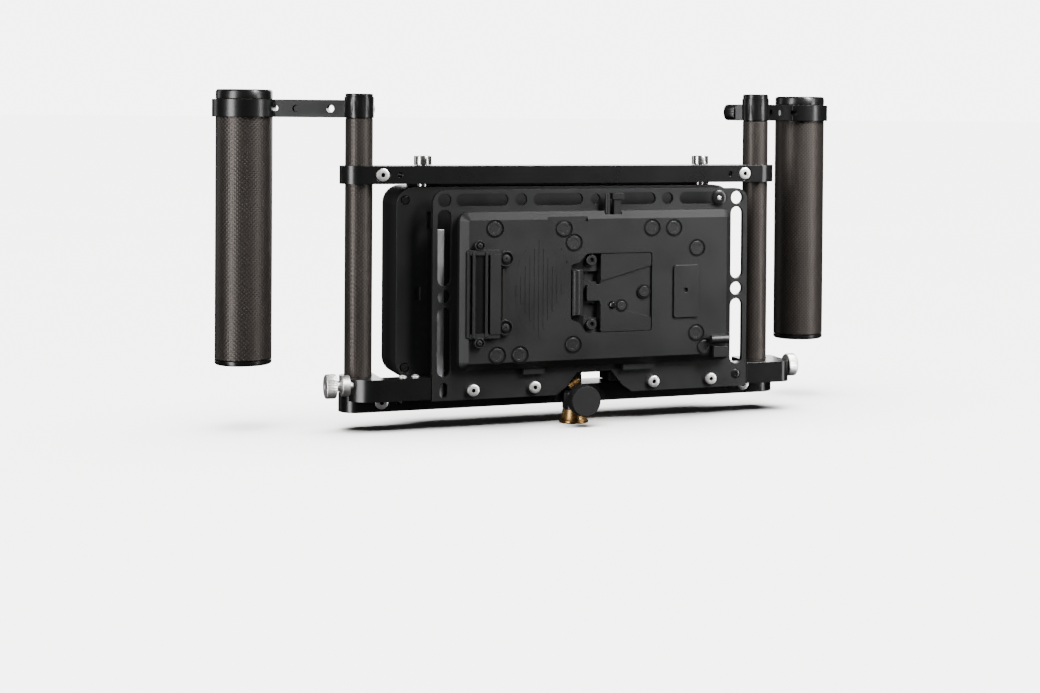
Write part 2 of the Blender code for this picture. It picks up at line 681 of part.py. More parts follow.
def build_slotted_plate():
    loops = [plate_outline()]
    radius = SLOT_WIDTH / 2
    for side in (-1, 1):
        x = PLATE_CENTRE_X + side * SLOT_COLUMN
        loops.append(circle(x, ROW_Z, radius, 18))
        loops.append(slot_z(x, 78.6, 120.4, SLOT_WIDTH))
        loops.append(circle(x, 72.8, radius, 18))
        loops.append(slot_z(x, 29.0, 67.0, SLOT_WIDTH))
        loops.append(slot_z(x, 17.6, 25.9, 4.2) if side < 0 else circle(x, 23.0, 2.9, 24))
        for low, high in ((7.4, 36.4), (50.8, 80.4)):
            ends = sorted((PLATE_CENTRE_X + side * low, PLATE_CENTRE_X + side * high))
            loops.append(slot_x(ends[0], ends[1], ROW_Z, SLOT_WIDTH - 0.6))
        loops.append(circle(PLATE_CENTRE_X + side * 43.5, ROW_Z, radius - 0.3, 18))
    loops.append(circle(PLATE_CENTRE_X, ROW_Z, 3.0, 18))
    for x, z in bracket_screw_places():
        loops.append(circle(x, z, SCREW_SHANK_RADIUS + GAP, 14))
    plate = finish("slotted_plate", flat(loops, PLATE_FRONT_Y, PLATE_BACK_Y, upright=True), BLACK)
    strap = box((PLATE_CENTRE_X - SLOT_COLUMN - 5.6, PLATE_BACK_Y + GAP, PLATE_BASE + 1.4),
                (STRAP_EDGE, PLATE_BACK_Y + GAP + STRAP_THICKNESS, STRAP_TOP))
    finish("edge_strap", strap, ALUMINIUM)
    slot_screw_x = PLATE_CENTRE_X + PLATE_WIDTH / 2 - SLOT_SCREW_INSET
    screw("slot_screw", (slot_screw_x, PLATE_FRONT_Y - GAP, ROW_Z), CAMERA_SIDE, SILVER, head_radius=4.4,
          head_height=1.6, shank_radius=2.4, shank_length=5.0, socket=1.4)
    return plate


# Rear brackets with their screws and thumbscrews
def bracket_end(name):
    return POST_X + BRACKET_OVERHANG[name]


def bracket_outline(side, name):
    inner = side * PLATE_CENTRE_X + ARCH_HALF_FOOT
    edge = side * PLATE_CENTRE_X + PLATE_WIDTH / 2 + 0.5
    corner = BRACKET_CORNER[name]
    end = bracket_end(name)
    wrap = POST_X - BRACKET_WRAP_INSET
    points = [(inner, PLATE_BACK_Y + GAP), (edge, PLATE_BACK_Y + GAP), (edge, PLATE_FRONT_Y)]
    points += arc(end - corner, PLATE_FRONT_Y + corner, corner, 270, 360, 8)
    points += arc(end - 3, BRACKET_WRAP_Y - 3, 3, 0, 90, 4)
    points += [(wrap, BRACKET_WRAP_Y), (wrap, BRACKET_BACK_Y), (inner, BRACKET_BACK_Y)]
    return [(x * side, y) for x, y in points]


def build_bracket(side, name):
    bore = POST_RADIUS + GAP
    loops = [bracket_outline(side, name), circle(side * POST_X, 0, bore, 32)]
    bracket = finish(name + "_rear_bracket", flat(loops, BRACKET_BASE, BRACKET_TOP), BLACK)
    end = bracket_end(name)
    seat = end + THUMB_SEAT[name]

    def fill(bm):
        xs = sorted((side * (POST_X - 13.5), side * (end + 2)))
        add_box(bm, (xs[0], BRACKET_BACK_Y, BRACKET_BASE - 1), (xs[1], 12, BAR_TOP + GAP))
        add_box(bm, (side * POST_X - 0.8, POST_RADIUS - 1, BRACKET_BASE - 1),
                (side * POST_X + 0.8, BRACKET_WRAP_Y + 1, BRACKET_TOP + 1))

    def bores(bm):
        mouth = (side * (end + 2), THUMB_Y, THUMB_Z)
        add_rod(bm, THUMB_SHANK + GAP, mouth, (side * (seat - 14), THUMB_Y, THUMB_Z), 18)
        if seat < end:
            add_rod(bm, THUMB_COLLAR + 0.5, (side * (seat - GAP), THUMB_Y, THUMB_Z), mouth, 28)
        for x, z in bracket_screw_places():
            if (x - PLATE_CENTRE_X) * side > 0:
                add_rod(bm, SCREW_SHANK_RADIUS + GAP, (x, -19, z), (x, -12.6, z), 18)
        if side < 0:
            add_box(bm, (PLATE_CENTRE_X - SLOT_COLUMN - 6.2, PLATE_BACK_Y - 1, BRACKET_BASE - 1),
                    (STRAP_EDGE + GAP, PLATE_BACK_Y + STRAP_THICKNESS + 2 * GAP, BRACKET_TOP + 1))

    cut(bracket, fill)
    cut(bracket, bores)
    foot = (side * seat, THUMB_Y, THUMB_Z)
    build_thumbscrew(name + "_thumbscrew", foot, (side, 0, 0), THUMB_REACH[name])


def build_thumbscrew(name, foot, axis, reach):
    """Thumbscrew drawn out of its block by the reach, with its loose collar left on the block."""
    outline = ripple(THUMB_RADIUS, 0.25, 28)
    knob = finish(name, flat([outline], reach, reach + THUMB_HEAD), SILVER, foot, axis)
    bm = bmesh.new()
    add_rod(bm, THUMB_SHANK, (0, 0, -13.0), (0, 0, reach + 1.5), 18)
    if reach > 0:
        add_rod(bm, THUMB_COLLAR, (0, 0, 0), (0, 0, reach - 3.0), 32)
        add_rod(bm, THUMB_SHANK + 0.9, (0, 0, 1.0), (0, 0, reach + 1.0), 18)
    tool = helper_object(name + "_neck", mesh_from(bm))
    tool.matrix_world = frame_at(foot, axis)
    mod = knob.modifiers.new("neck", "BOOLEAN")
    mod.operation = "UNION"
    mod.solver = "EXACT"
    mod.use_self = True
    mod.object = tool
    return knob


def build_bracket_screws():
    for index, (x, z) in enumerate(bracket_screw_places()):
        screw(f"bracket_screw_{index + 1}", (x, PLATE_FRONT_Y - GAP, z), CAMERA_SIDE, SILVER, head_radius=3.3,
              head_height=2.2, shank_radius=SCREW_SHANK_RADIUS, shank_length=8.0, socket=1.1)


# Battery plate and what is fixed to it
def lock_outline():
    """Recess of the battery lock: slanted steps at both left corners, small rounds at the right ones."""
    corners = [(LOCK_RIGHT, LOCK_TOP), (LOCK_LEFT + 9.2, LOCK_TOP), (LOCK_LEFT + 5.2, LOCK_TOP - 4.8),
               (LOCK_LEFT, LOCK_TOP - 6.2), (LOCK_LEFT, LOCK_BASE + 7.6), (LOCK_LEFT + 5.4, LOCK_BASE + 5.8),
               (LOCK_LEFT + 9.0, LOCK_BASE), (LOCK_RIGHT, LOCK_BASE)]
    return round_corners(corners, 1.6)


def add_flat(bm, loop, low, high):
    """Upright slab between two depths, added to the solids of a cutter."""
    bm.from_mesh(flat([loop], low, high, upright=True))


def build_battery_plate():
    back = PLATE_FRONT_Y - GAP
    outline = rounded(BATTERY_LEFT, BATTERY_RIGHT, BATTERY_BASE, BATTERY_TOP, BATTERY_CORNER, 4)
    bm = bmesh.new()
    bm.from_mesh(flat([outline], BATTERY_FRONT_Y, back, upright=True))
    bmesh.ops.dissolve_limit(bm, angle_limit=math.radians(1), verts=bm.verts, edges=bm.edges)
    front = [e for e in bm.edges if all(v.co.y < (BATTERY_FRONT_Y + 0.1) * MM for v in e.verts)]
    bmesh.ops.bevel(bm, geom=front, offset=BATTERY_CHAMFER * MM, segments=1, affect="EDGES", profile=0.5)
    plate = finish("battery_plate", mesh_from(bm), BLACK)
    front_y = BATTERY_FRONT_Y
    pocket_y = front_y + POCKET_DEPTH

    def feet(bm):
        for low, high in ((-31.5, -19.5), (27.0, 46.0)):
            add_box(bm, (low, back - 3.2, BATTERY_BASE - 3.6), (high, back, BATTERY_BASE + 1.0))

    def dimples(bm):
        for x, z in DIMPLES:
            add_rod(bm, DIMPLE_RADIUS, (x, front_y - 1, z), (x, front_y + DIMPLE_DEPTH, z), 24)

    def recess(bm):
        add_flat(bm, lock_outline(), front_y - 1, front_y + LOCK_DEPTH)
        for step in range(-4, 5):
            x = -22.4 + step * 3.3
            half = 27.7 * math.sqrt(1 - (step / 4.7) ** 2)
            middle = BATTERY_MID + 1.4
            add_box(bm, (x - 0.7, front_y - 1, middle - half), (x + 0.7, front_y + 0.8, middle + half))
        add_box(bm, (-19.9, front_y - 1, BATTERY_TOP - 5.6), (3.5, front_y + 1.4, BATTERY_TOP - 1.2))
        add_box(bm, (14.5, front_y + 2.2, 106.0), (24.5, front_y + 7.0, BATTERY_TOP + 1))
        add_rod(bm, 1.9 + GAP, (LATCH_X, front_y, LATCH_Z), (LATCH_X, -22.2, LATCH_Z), 18)

    def bar(bm):
        left = LOCK_LEFT + 1.1
        add_box(bm, (left, front_y + 0.5, LATCH_Z - 5.4), (left + 6.0, front_y + 4.5, LATCH_Z + 20.2))

    def pockets(bm):
        for low, high in ((LATCH_Z + 13.1, LATCH_Z + 18.9), (LATCH_Z - 7.1, LATCH_Z + 1.1)):
            add_box(bm, (LOCK_LEFT + 8.1, front_y - 1, low), (LOCK_LEFT + 17.4, pocket_y, high))

    cut(plate, feet, operation="UNION")
    cut(plate, dimples)
    cut(plate, recess)
    cut(plate, bar, operation="UNION")
    cut(plate, pockets)


def build_lock():
    """Insert of the battery lock with its tongue, the latch pin and the lever that draws the pin in."""
    y = BATTERY_FRONT_Y + LOCK_DEPTH - GAP
    front = y - WEDGE_THICKNESS
    right = LOCK_RIGHT - GAP
    left = LOCK_LEFT + 17.7
    tongue = LOCK_LEFT + 9.6
    low, high = LATCH_Z + 2.6, LATCH_Z + 11.6
    corners = [(right, LOCK_TOP - GAP), (left, LOCK_TOP - GAP), (left, high), (tongue, high),
               (tongue, low), (left, low), (left, LOCK_BASE + GAP), (right, LOCK_BASE + GAP)]
    hole = circle(LATCH_X, LATCH_Z, 1.9 + GAP, 18)
    insert = finish("lock_wedge", flat([round_corners(corners, 1.2, 2), hole], front, y, upright=True), BLACK)

    def channel(bm):
        middle = (low + high) / 2
        wide = [(LOCK_RIGHT + 1, middle + 15.0), (tongue + 0.6, middle + 4.4), (tongue + 0.6, middle - 4.4),
                (LOCK_RIGHT + 1, middle - 15.0)]
        add_flat(bm, wide, front - 1, front + 0.8)

    cut(insert, channel)
    pin = [(0, 6.0), (1.4, 6.0), (1.9, 5.5), (1.9, 0), (0, 0)]
    turned("latch_pin", pin, SILVER, (LATCH_X, -24.8, LATCH_Z), CAMERA_SIDE, 18)
    foot = (15.0, BATTERY_FRONT_Y + 2.6, 110.0)
    lever = finish("release_lever", box(foot, (24.0, BATTERY_FRONT_Y + 6.6, 113.5)), PLASTIC)

    def arms(bm):
        add_box(bm, (20.0, BATTERY_FRONT_Y + 2.9, 111.0), (24.0, BATTERY_FRONT_Y + 6.3, 126.5))
        add_box(bm, (18.9, BATTERY_FRONT_Y + 2.2, 125.5), (25.9, BATTERY_FRONT_Y + 7.0, 128.9))
        add_rod(bm, 1.5, (16.6, BATTERY_FRONT_Y + 4.6, 111.0), (16.6, BATTERY_FRONT_Y + 4.6, 128.4), 18)

    cut(lever, arms, operation="UNION")


def build_contact_block():
    """Housing of the battery contacts with screw lobes on its outline and upright slots for the blades."""
    y = BATTERY_FRONT_Y - GAP
    front = y - CONTACT_DEPTH
    outline = rounded(CONTACT_LEFT, CONTACT_RIGHT, CONTACT_BASE, CONTACT_TOP, 1.0, 2)
    block = finish("contact_block", flat([outline], front, y, upright=True), PLASTIC)

    def lobes(bm):
        middle = BATTERY_MID - CONTACT_DROP
        right = CONTACT_RIGHT + 1.2
        left = CONTACT_LEFT + 8.8
        for side in (-1, 1):
            z = middle + side * 18.6
            add_rod(bm, 3.4, (right, front + 0.4, z), (right, y, z), 24)
            z = middle + side * 26.2
            add_rod(bm, 2.9, (left, front + 0.4, z), (left, y, z), 24)

    def slots(bm):
        for i in range(6):
            x = CONTACT_LEFT + 1.9 + i * 3.3
            add_box(bm, (x, front - 1, CONTACT_BASE + 3.0), (x + 1.2, front + 1.3, CONTACT_TOP - 3.0))
        low, high = CONTACT_BASE + 9.5, CONTACT_TOP - 11.3
        add_box(bm, (CONTACT_RIGHT - 2.0, front - 1, low), (CONTACT_RIGHT + 1, y - 0.5, high))

    cut(block, lobes, operation="UNION")
    cut(block, slots)
    low = (CONTACT_RIGHT - 1.6, front + 1.6, CONTACT_BASE + 10.0)
    finish("contact_strip", box(low, (CONTACT_RIGHT - 0.4, y - 0.9, CONTACT_TOP - 11.8)), BRASS)


def build_battery_trim():
    y = BATTERY_FRONT_Y - GAP
    loops = [rounded(55.0, 70.2, 58.2, 87.9, 1.2, 3), circle(62.1, 73.6, 1.3, 18)]
    cover = flat(loops, y - 0.9, y, upright=True)
    finish("connector_cover", cover, PLASTIC)
    finish("outlet_block", box((79.0, y - 2.6, 34.9), (87.6, y, 40.9)), PLASTIC)
    bm = bmesh.new()
    add_rod(bm, 2.5, (77.0, y - 2.6, 45.2), (87.7, y - 2.6, 45.2), 18)
    finish("outlet_plug", mesh_from(bm), PLASTIC)


# Adapter that carries the cage on a stand
def build_adapter():
    cone = SPIGOT_CONE
    stud_top = SOCKET_TOP - 2.2
    spigot = [(0, stud_top), (SPIGOT_STUD, stud_top), (SPIGOT_STUD, cone), (SPIGOT_NECK_RADIUS, cone),
              (SPIGOT_RADIUS, 1.6), (SPIGOT_RADIUS, 0), (0, 0)]
    turned("stand_spigot", spigot, BRASS, (0, ADAPTER_Y, 0))
    base = cone + GAP
    body = [(0, SOCKET_TOP), (SOCKET_RADIUS - 0.8, SOCKET_TOP), (SOCKET_RADIUS, SOCKET_TOP - 0.8),
            (SOCKET_RADIUS, base), (SPIGOT_STUD + GAP, base), (SPIGOT_STUD + GAP, stud_top + 2 * GAP),
            (0, stud_top + 2 * GAP)]
    socket = turned("adapter_socket", body, BLACK, (0, ADAPTER_Y, 0))

    def web(bm):
        add_box(bm, (-5.0, ADAPTER_Y + 4.8, POST_BASE + 0.6), (5.0, -BAR_WRAP - GAP, BAR_TOP - 3.0))

    def bore(bm):
        add_rod(bm, KNOB_SHANK + GAP, (0, ADAPTER_Y - 8, KNOB_Z), (0, ADAPTER_Y - 3.5, KNOB_Z), 18)

    cut(socket, web, operation="UNION")
    cut(socket, bore)
    middle = Vector((-0.4, ADAPTER_Y, SOCKET_TOP + 4.0))
    lean = Vector((3.0, 0, 1.7))
    reach = lean.length
    pin = [(0, 2 * reach), (2.5, 2 * reach), (2.5, reach), (1.9, reach), (1.9, 0), (0, 0)]
    turned("tilt_pin", pin, BRASS, middle - lean, lean, 24)
    foot = (0, KNOB_FRONT_Y + KNOB_THICKNESS, KNOB_Z)
    depth = (KNOB_FRONT_Y + KNOB_THICKNESS) - (ADAPTER_Y - SPIGOT_STUD - 2 * GAP)
    grip = (KNOB_RADIUS, KNOB_THICKNESS, 24)
    build_grip("adapter_knob", foot, CAMERA_SIDE, grip, KNOB_SHANK, -depth, BLACK)


def stand_on_adapter():
    """Put the world origin under the middle of the stand spigot."""
    for obj in bpy.data.objects:
        obj.location.y -= ADAPTER_Y * MM


def build():
    for obj in list(bpy.data.objects):
        bpy.data.objects.remove(obj)
    build_posts()
    build_bar("top_bar", TOP_BAR_Z)
    build_bar("bottom_bar", POST_BASE)
    build_monitor_fixings()
    for side, name in ((-1, "left"), (1, "right")):
        build_arm(side, name)
        build_handle(side, name)
        build_bracket(side, name)
    build_monitor()
    build_slotted_plate()
    build_bracket_screws()
    build_battery_plate()
    build_lock()
    build_contact_block()
    build_battery_trim()
    build_adapter()
    stand_on_adapter()


build()
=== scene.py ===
"""Monitor cage on its stand adapter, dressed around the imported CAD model."""
import json
import math

import bmesh
import bpy
from mathutils import Matrix, Vector

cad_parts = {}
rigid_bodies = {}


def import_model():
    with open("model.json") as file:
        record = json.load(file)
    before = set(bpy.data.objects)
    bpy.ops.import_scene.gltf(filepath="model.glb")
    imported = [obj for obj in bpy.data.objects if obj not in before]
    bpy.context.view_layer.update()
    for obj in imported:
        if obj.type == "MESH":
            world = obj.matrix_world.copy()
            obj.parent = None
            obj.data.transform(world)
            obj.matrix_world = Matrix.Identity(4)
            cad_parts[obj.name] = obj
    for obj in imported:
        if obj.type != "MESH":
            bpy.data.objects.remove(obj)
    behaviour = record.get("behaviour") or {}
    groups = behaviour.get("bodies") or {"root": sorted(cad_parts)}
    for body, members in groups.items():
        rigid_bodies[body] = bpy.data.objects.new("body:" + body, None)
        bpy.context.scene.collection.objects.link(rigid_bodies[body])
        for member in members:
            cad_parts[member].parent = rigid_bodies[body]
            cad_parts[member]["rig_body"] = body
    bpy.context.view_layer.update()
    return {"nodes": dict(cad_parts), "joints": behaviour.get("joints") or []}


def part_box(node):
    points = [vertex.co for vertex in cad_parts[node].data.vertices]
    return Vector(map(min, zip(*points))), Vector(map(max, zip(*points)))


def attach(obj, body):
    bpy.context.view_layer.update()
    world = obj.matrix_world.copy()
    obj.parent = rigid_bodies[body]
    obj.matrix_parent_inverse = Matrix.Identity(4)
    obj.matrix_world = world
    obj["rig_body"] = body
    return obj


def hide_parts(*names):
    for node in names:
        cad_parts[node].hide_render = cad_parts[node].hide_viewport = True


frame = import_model()

# Studio: a wide pale floor under the spigot, a white surround and large soft lights.
# The camera stands a metre off on the battery side, level with the tops of the posts.
camera_place = (-0.3342, -0.9853, 0.1731)
camera_turn = {"yaw": 22.399, "pitch": 0.922, "roll": 0.49}
cage_middle = (0.0, 0.0, 0.09)
sky_power = 22.0
sky_width = 70.0
seen_strength = 6.0
felt_strength = 0.04
floor_half_width = 60.0


def camera_axes(yaw, pitch, roll):
    """Camera rotation for a view along +Y that is turned to +X, tipped down and rolled, in degrees."""
    yaw, pitch, roll = (math.radians(angle) for angle in (yaw, pitch, roll))
    level_share = math.cos(pitch)
    ahead = Vector((math.sin(yaw) * level_share, math.cos(yaw) * level_share, -math.sin(pitch)))
    level = Vector((math.cos(yaw), -math.sin(yaw), 0.0))
    above = level.cross(ahead)
    right = level * math.cos(roll) + above * math.sin(roll)
    up = above * math.cos(roll) - level * math.sin(roll)
    return Matrix((right, up, -ahead)).transposed()


camera = bpy.data.objects.new("camera", bpy.data.cameras.new("camera"))
camera.data.sensor_width = 36.0
camera.data.lens = 64.06
camera.data.shift_x = -0.1675
camera.data.shift_y = -0.1940
camera.data.clip_start = 0.01
camera.matrix_world = Matrix.Translation(camera_place) @ camera_axes(**camera_turn).to_4x4()
bpy.context.scene.collection.objects.link(camera)
bpy.context.scene.camera = camera


def soft_light(name, place, size, power, target=cage_middle, spread=180.0):
    """Area light of a width and height in metres and a power in watts, turned to its target."""
    lamp = bpy.data.lights.new(name, "AREA")
    lamp.shape = "RECTANGLE"
    lamp.size, lamp.size_y = size
    lamp.energy = power
    lamp.spread = math.radians(spread)
    holder = bpy.data.objects.new(name, lamp)
    aim = Vector(target) - Vector(place)
    holder.matrix_world = Matrix.Translation(place) @ aim.to_track_quat("-Z", "Y").to_matrix().to_4x4()
    bpy.context.scene.collection.objects.link(holder)
    return holder


strips = [
    soft_light("left_light", (-0.96, -0.48, 0.15), (0.3, 1.5), 11.0, target=(-0.16, 0.0, 0.1), spread=120.0),
    soft_light("right_light", (0.45, -0.62, 0.78), (0.22, 0.7), 6.4, target=(0.16, 0.0, 0.08), spread=60.0),
    soft_light("side_light", (1.1, -0.95, 0.15), (0.16, 1.5), 2.3, target=(0.18, 0.0, 0.1), spread=70.0),
    soft_light("back_light", (0.9, 1.9, 0.7), (1.4, 1.2), 30.0),
    soft_light("back_fill", (-1.7, 1.5, 0.5), (0.5, 1.6), 5.0),
    soft_light("top_light", (0.0, 0.2, 1.8), (1.6, 1.0), 3.2),
]

sky_lamp = bpy.data.lights.new("sky_light", "SUN")
sky_lamp.energy = sky_power
sky_lamp.angle = math.radians(sky_width)
sky = bpy.data.objects.new("sky_light", sky_lamp)
bpy.context.scene.collection.objects.link(sky)

world = bpy.data.worlds.new("surround")
bpy.context.scene.world = world
world.use_nodes = True
air = world.node_tree
air.nodes.clear()


def white_glow(strength):
    """White background of a strength, ready to be linked."""
    glow = air.nodes.new("ShaderNodeBackground")
    glow.inputs["Color"].default_value = (1.0, 1.0, 1.0, 1.0)
    glow.inputs["Strength"].default_value = strength
    return glow.outputs["Background"]


seen_by_camera = air.nodes.new("ShaderNodeLightPath").outputs["Is Camera Ray"]
switch = air.nodes.new("ShaderNodeMixShader")
output = air.nodes.new("ShaderNodeOutputWorld")
air.links.new(seen_by_camera, switch.inputs["Fac"])
air.links.new(white_glow(felt_strength), switch.inputs[1])
air.links.new(white_glow(seen_strength), switch.inputs[2])
air.links.new(switch.outputs["Shader"], output.inputs["Surface"])


class Recipe:
    """A material being put together, with short names for the nodes that it needs."""

    def __init__(self, name, colour, metallic=0.0, roughness=0.5, coat=0.0, coat_roughness=0.1):
        """Start from plain values, which a pattern may then vary over the surface."""
        self.material = bpy.data.materials.new(name)
        self.material.use_nodes = True
        self.tree = self.material.node_tree
        self.shader = self.tree.nodes["Principled BSDF"]
        self.shader.inputs["Base Color"].default_value = (*colour, 1.0)
        self.shader.inputs["Metallic"].default_value = metallic
        self.shader.inputs["Roughness"].default_value = roughness
        self.shader.inputs["Coat Weight"].default_value = coat
        self.shader.inputs["Coat Roughness"].default_value = coat_roughness
        self.place = self.tree.nodes.new("ShaderNodeTexCoord").outputs["Object"]

    def put(self, socket, value):
        """Link another node's output to a socket, or set the socket to a number."""
        if isinstance(value, bpy.types.NodeSocket):
            self.tree.links.new(value, socket)
        else:
            socket.default_value = value

    def calculate(self, operation, *values):
        node = self.tree.nodes.new("ShaderNodeMath")
        node.operation = operation
        for socket, value in zip(node.inputs, values):
            self.put(socket, value)
        return node.outputs["Value"]

    def plus(self, first, second):
        return self.calculate("ADD", first, second)

    def times(self, first, second):
        return self.calculate("MULTIPLY", first, second)

    def stretch(self, vector, scale):
        node = self.tree.nodes.new("ShaderNodeMapping")
        self.put(node.inputs["Vector"], vector)
        node.inputs["Scale"].default_value = scale
        return node.outputs["Vector"]

    def noise(self, scale, detail=3.0, roughness=0.5, vector=None):
        """Cloudy pattern, with so many clouds to the metre."""
        node = self.tree.nodes.new("ShaderNodeTexNoise")
        self.put(node.inputs["Vector"], self.place if vector is None else vector)
        node.inputs["Scale"].default_value = scale
        node.inputs["Detail"].default_value = detail
        node.inputs["Roughness"].default_value = roughness
        return node.outputs["Fac"]

    def span(self, value, to_low, to_high, low=0.3, high=0.7):
        """Stretch a value's range, at first that of a noise, to another range."""
        node = self.tree.nodes.new("ShaderNodeMapRange")
        for socket, given in zip(node.inputs, (value, low, high, to_low, to_high)):
            self.put(socket, given)
        return node.outputs["Result"]

    def blend(self, share, low, high):
        """Colour between two colours."""
        node = self.tree.nodes.new("ShaderNodeMix")
        node.data_type = "RGBA"
        self.put(node.inputs["Factor"], share)
        node.inputs[6].default_value = (*low, 1.0)
        node.inputs[7].default_value = (*high, 1.0)
        return node.outputs[2]

    def bump(self, height, strength, distance):
        node = self.tree.nodes.new("ShaderNodeBump")
        node.inputs["Strength"].default_value = strength
        node.inputs["Distance"].default_value = distance
        self.put(node.inputs["Height"], height)
        self.tree.links.new(node.outputs["Normal"], self.shader.inputs["Normal"])

    def colour(self, value):
        self.tree.links.new(value, self.shader.inputs["Base Color"])

    def roughness(self, value):
        self.tree.links.new(value, self.shader.inputs["Roughness"])


def lay_floor():
    """Matte paper floor, lit by the sky alone, while the soft lights reach the cage alone."""
    paper = Recipe("pale_floor", (0.86, 0.86, 0.85), roughness=0.7)
    paper.roughness(paper.span(paper.noise(3.0), 0.66, 0.76))
    bm = bmesh.new()
    bmesh.ops.create_grid(bm, x_segments=1, y_segments=1, size=floor_half_width)
    mesh = bpy.data.meshes.new("floor")
    bm.to_mesh(mesh)
    bm.free()
    floor = bpy.data.objects.new("floor", mesh)
    mesh.materials.append(paper.material)
    bpy.context.scene.collection.objects.link(floor)
    floor.visible_glossy = False
    floor.visible_diffuse = False
    for name, state, lights in (("left_to_sky", "EXCLUDE", strips), ("lit_by_sky", "INCLUDE", [sky])):
        linked = bpy.data.collections.new(name)
        linked.objects.link(floor)
        linked.collection_objects[0].light_linking.link_state = state
        for light in lights:
            light.light_linking.receiver_collection = linked


lay_floor()

# Stand adapter: a turned brass spigot with a flange and a cone, in a black socket under the bottom bar.
# A knurled knob on a screw clamps the socket, and a short brass pin on a block stands in the arch above it.
mm = 0.001
upward = Vector((0.0, 0.0, 1.0))
camera_side = Vector((0.0, -1.0, 0.0))
knurl_depth = 0.028
knurl_roundness = 0.7
neck_radius = 6.3
cone_top = 8.0
stud_radius = 4.0
stud_top = 14.2
knob_radius = 8.68
knob_thickness = 9.0
knob_screw_radius = 1.9
knob_screw_length = 8.2


def crease(bm, sharp, wide=2.0, flat_corner=2.0):
    """Smooth faces, with a sharp edge at each real corner and all round each wide flat face."""
    is_wide = {}
    for face in bm.faces:
        face.smooth = True
        is_wide[face] = face.calc_area() > wide * mm * face.calc_perimeter()
    for edge in bm.edges:
        flat = any(is_wide[face] for face in edge.link_faces)
        edge.smooth = edge.calc_face_angle(0.0) < math.radians(flat_corner if flat else sharp)


def settle(name, bm, look, body, slot, *nodes, sharp=35.0):
    """Turn a bmesh into a finished piece that rides on a body and stands for nodes."""
    crease(bm, sharp)
    bmesh.ops.triangulate(bm, faces=[face for face in bm.faces if len(face.verts) > 4])
    mesh = bpy.data.meshes.new(name)
    bm.to_mesh(mesh)
    bm.free()
    mesh.materials.append(look)
    piece = bpy.data.objects.new(name, mesh)
    bpy.context.scene.collection.objects.link(piece)
    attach(piece, body)
    if nodes:
        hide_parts(*nodes)
    return piece


def copy_of(node, join, weld=1e-6, flat_within=0.6):
    """The node's own mesh, its loose triangles merged and, where asked, its flat faces joined."""
    bm = bmesh.new()
    bm.from_mesh(frame["nodes"][node].data)
    bmesh.ops.remove_doubles(bm, verts=bm.verts, dist=weld)
    if join:
        bmesh.ops.dissolve_limit(bm, angle_limit=math.radians(flat_within), verts=bm.verts, edges=bm.edges)
    return bm


def ease(piece, width, segments=2, angle=40.0):
    """Soft machined edges, of a width in millimetres, wherever faces meet at more than an angle."""
    edges = piece.modifiers.new("eased_edges", "BEVEL")
    edges.width = width * mm
    edges.segments = segments
    edges.limit_method = "ANGLE"
    edges.angle_limit = math.radians(angle)
    edges.harden_normals = True
    edges.miter_outer = "MITER_ARC"


def dress(node, look, slot, edge, angle=40.0, join=True):
    """Finished copy of a CAD node, its edges eased where their width isn't nought."""
    body = frame["nodes"][node]["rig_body"]
    piece = settle(node + "_finished", copy_of(node, join), look, body, slot, node)
    if edge:
        ease(piece, edge, angle=angle)
    flat = piece.modifiers.new("flat_faces", "WEIGHTED_NORMAL")
    flat.mode = "FACE_AREA_WITH_ANGLE"
    flat.weight = 100
    flat.keep_sharp = True


def extent(node):
    """Lowest and highest corner of a CAD node at rest, in millimetres."""
    low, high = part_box(node)
    return low / mm, high / mm


def middle_of(node):
    """Middle of a CAD node's box at rest, in millimetres."""
    low, high = extent(node)
    return (low + high) / 2


def along(origin, axis):
    """Placing matrix that takes +Z to an axis and stands at an origin in millimetres."""
    turn = upward.rotation_difference(Vector(axis).normalized())
    return Matrix.Translation(Vector(origin) * mm) @ turn.to_matrix().to_4x4()


def ring_share(angle, kind, teeth):
    """Share of its radius that a ring has at an angle: six-sided, or knurled with so many teeth."""
    if kind == "hex":
        side = math.pi / 3
        return math.cos(side / 2) / math.cos((angle + side / 2) % side - side / 2)
    return 1.0 - knurl_depth * (0.5 - 0.5 * math.cos(angle * teeth)) ** knurl_roundness


def turned(rings, place, steps=64, teeth=0):
    """Turned piece, spun from an outline of rings of (radius, height[, kind]) in millimetres.
    An outline that comes back to its first ring makes an open ring, and any other is closed at its ends."""
    bm = bmesh.new()
    ring_of = bm.verts.layers.int.new("ring")
    outline = []
    for index, ring in enumerate(rings):
        vert = bm.verts.new((ring[0] * mm, 0.0, ring[1] * mm))
        vert[ring_of] = index
        outline.append(vert)
    edges = [bm.edges.new(pair) for pair in zip(outline, outline[1:])]
    bmesh.ops.spin(bm, geom=outline + edges, axis=upward, angle=2 * math.pi, steps=steps, use_merge=True)
    for vert in bm.verts:
        ring = rings[vert[ring_of]]
        if len(ring) > 2:
            share = ring_share(math.atan2(vert.co.y, vert.co.x), ring[2], teeth)
            vert.co.x *= share
            vert.co.y *= share
    bm.verts.layers.int.remove(ring_of)
    if rings[0] == rings[-1]:
        bmesh.ops.remove_doubles(bm, verts=bm.verts, dist=1e-6)
    else:
        bmesh.ops.holes_fill(bm, edges=[edge for edge in bm.edges if edge.is_boundary])
    bmesh.ops.recalc_face_normals(bm, faces=bm.faces)
    bmesh.ops.transform(bm, matrix=place, verts=bm.verts)
    return bm


def draw_out(bm, way):
    """Give a flat face a thickness, by drawing it out along a vector in metres."""
    grown = bmesh.ops.extrude_face_region(bm, geom=bm.faces[:])
    moved = [part for part in grown["geom"] if isinstance(part, bmesh.types.BMVert)]
    bmesh.ops.translate(bm, verts=moved, vec=way)
    bmesh.ops.recalc_face_normals(bm, faces=bm.faces)


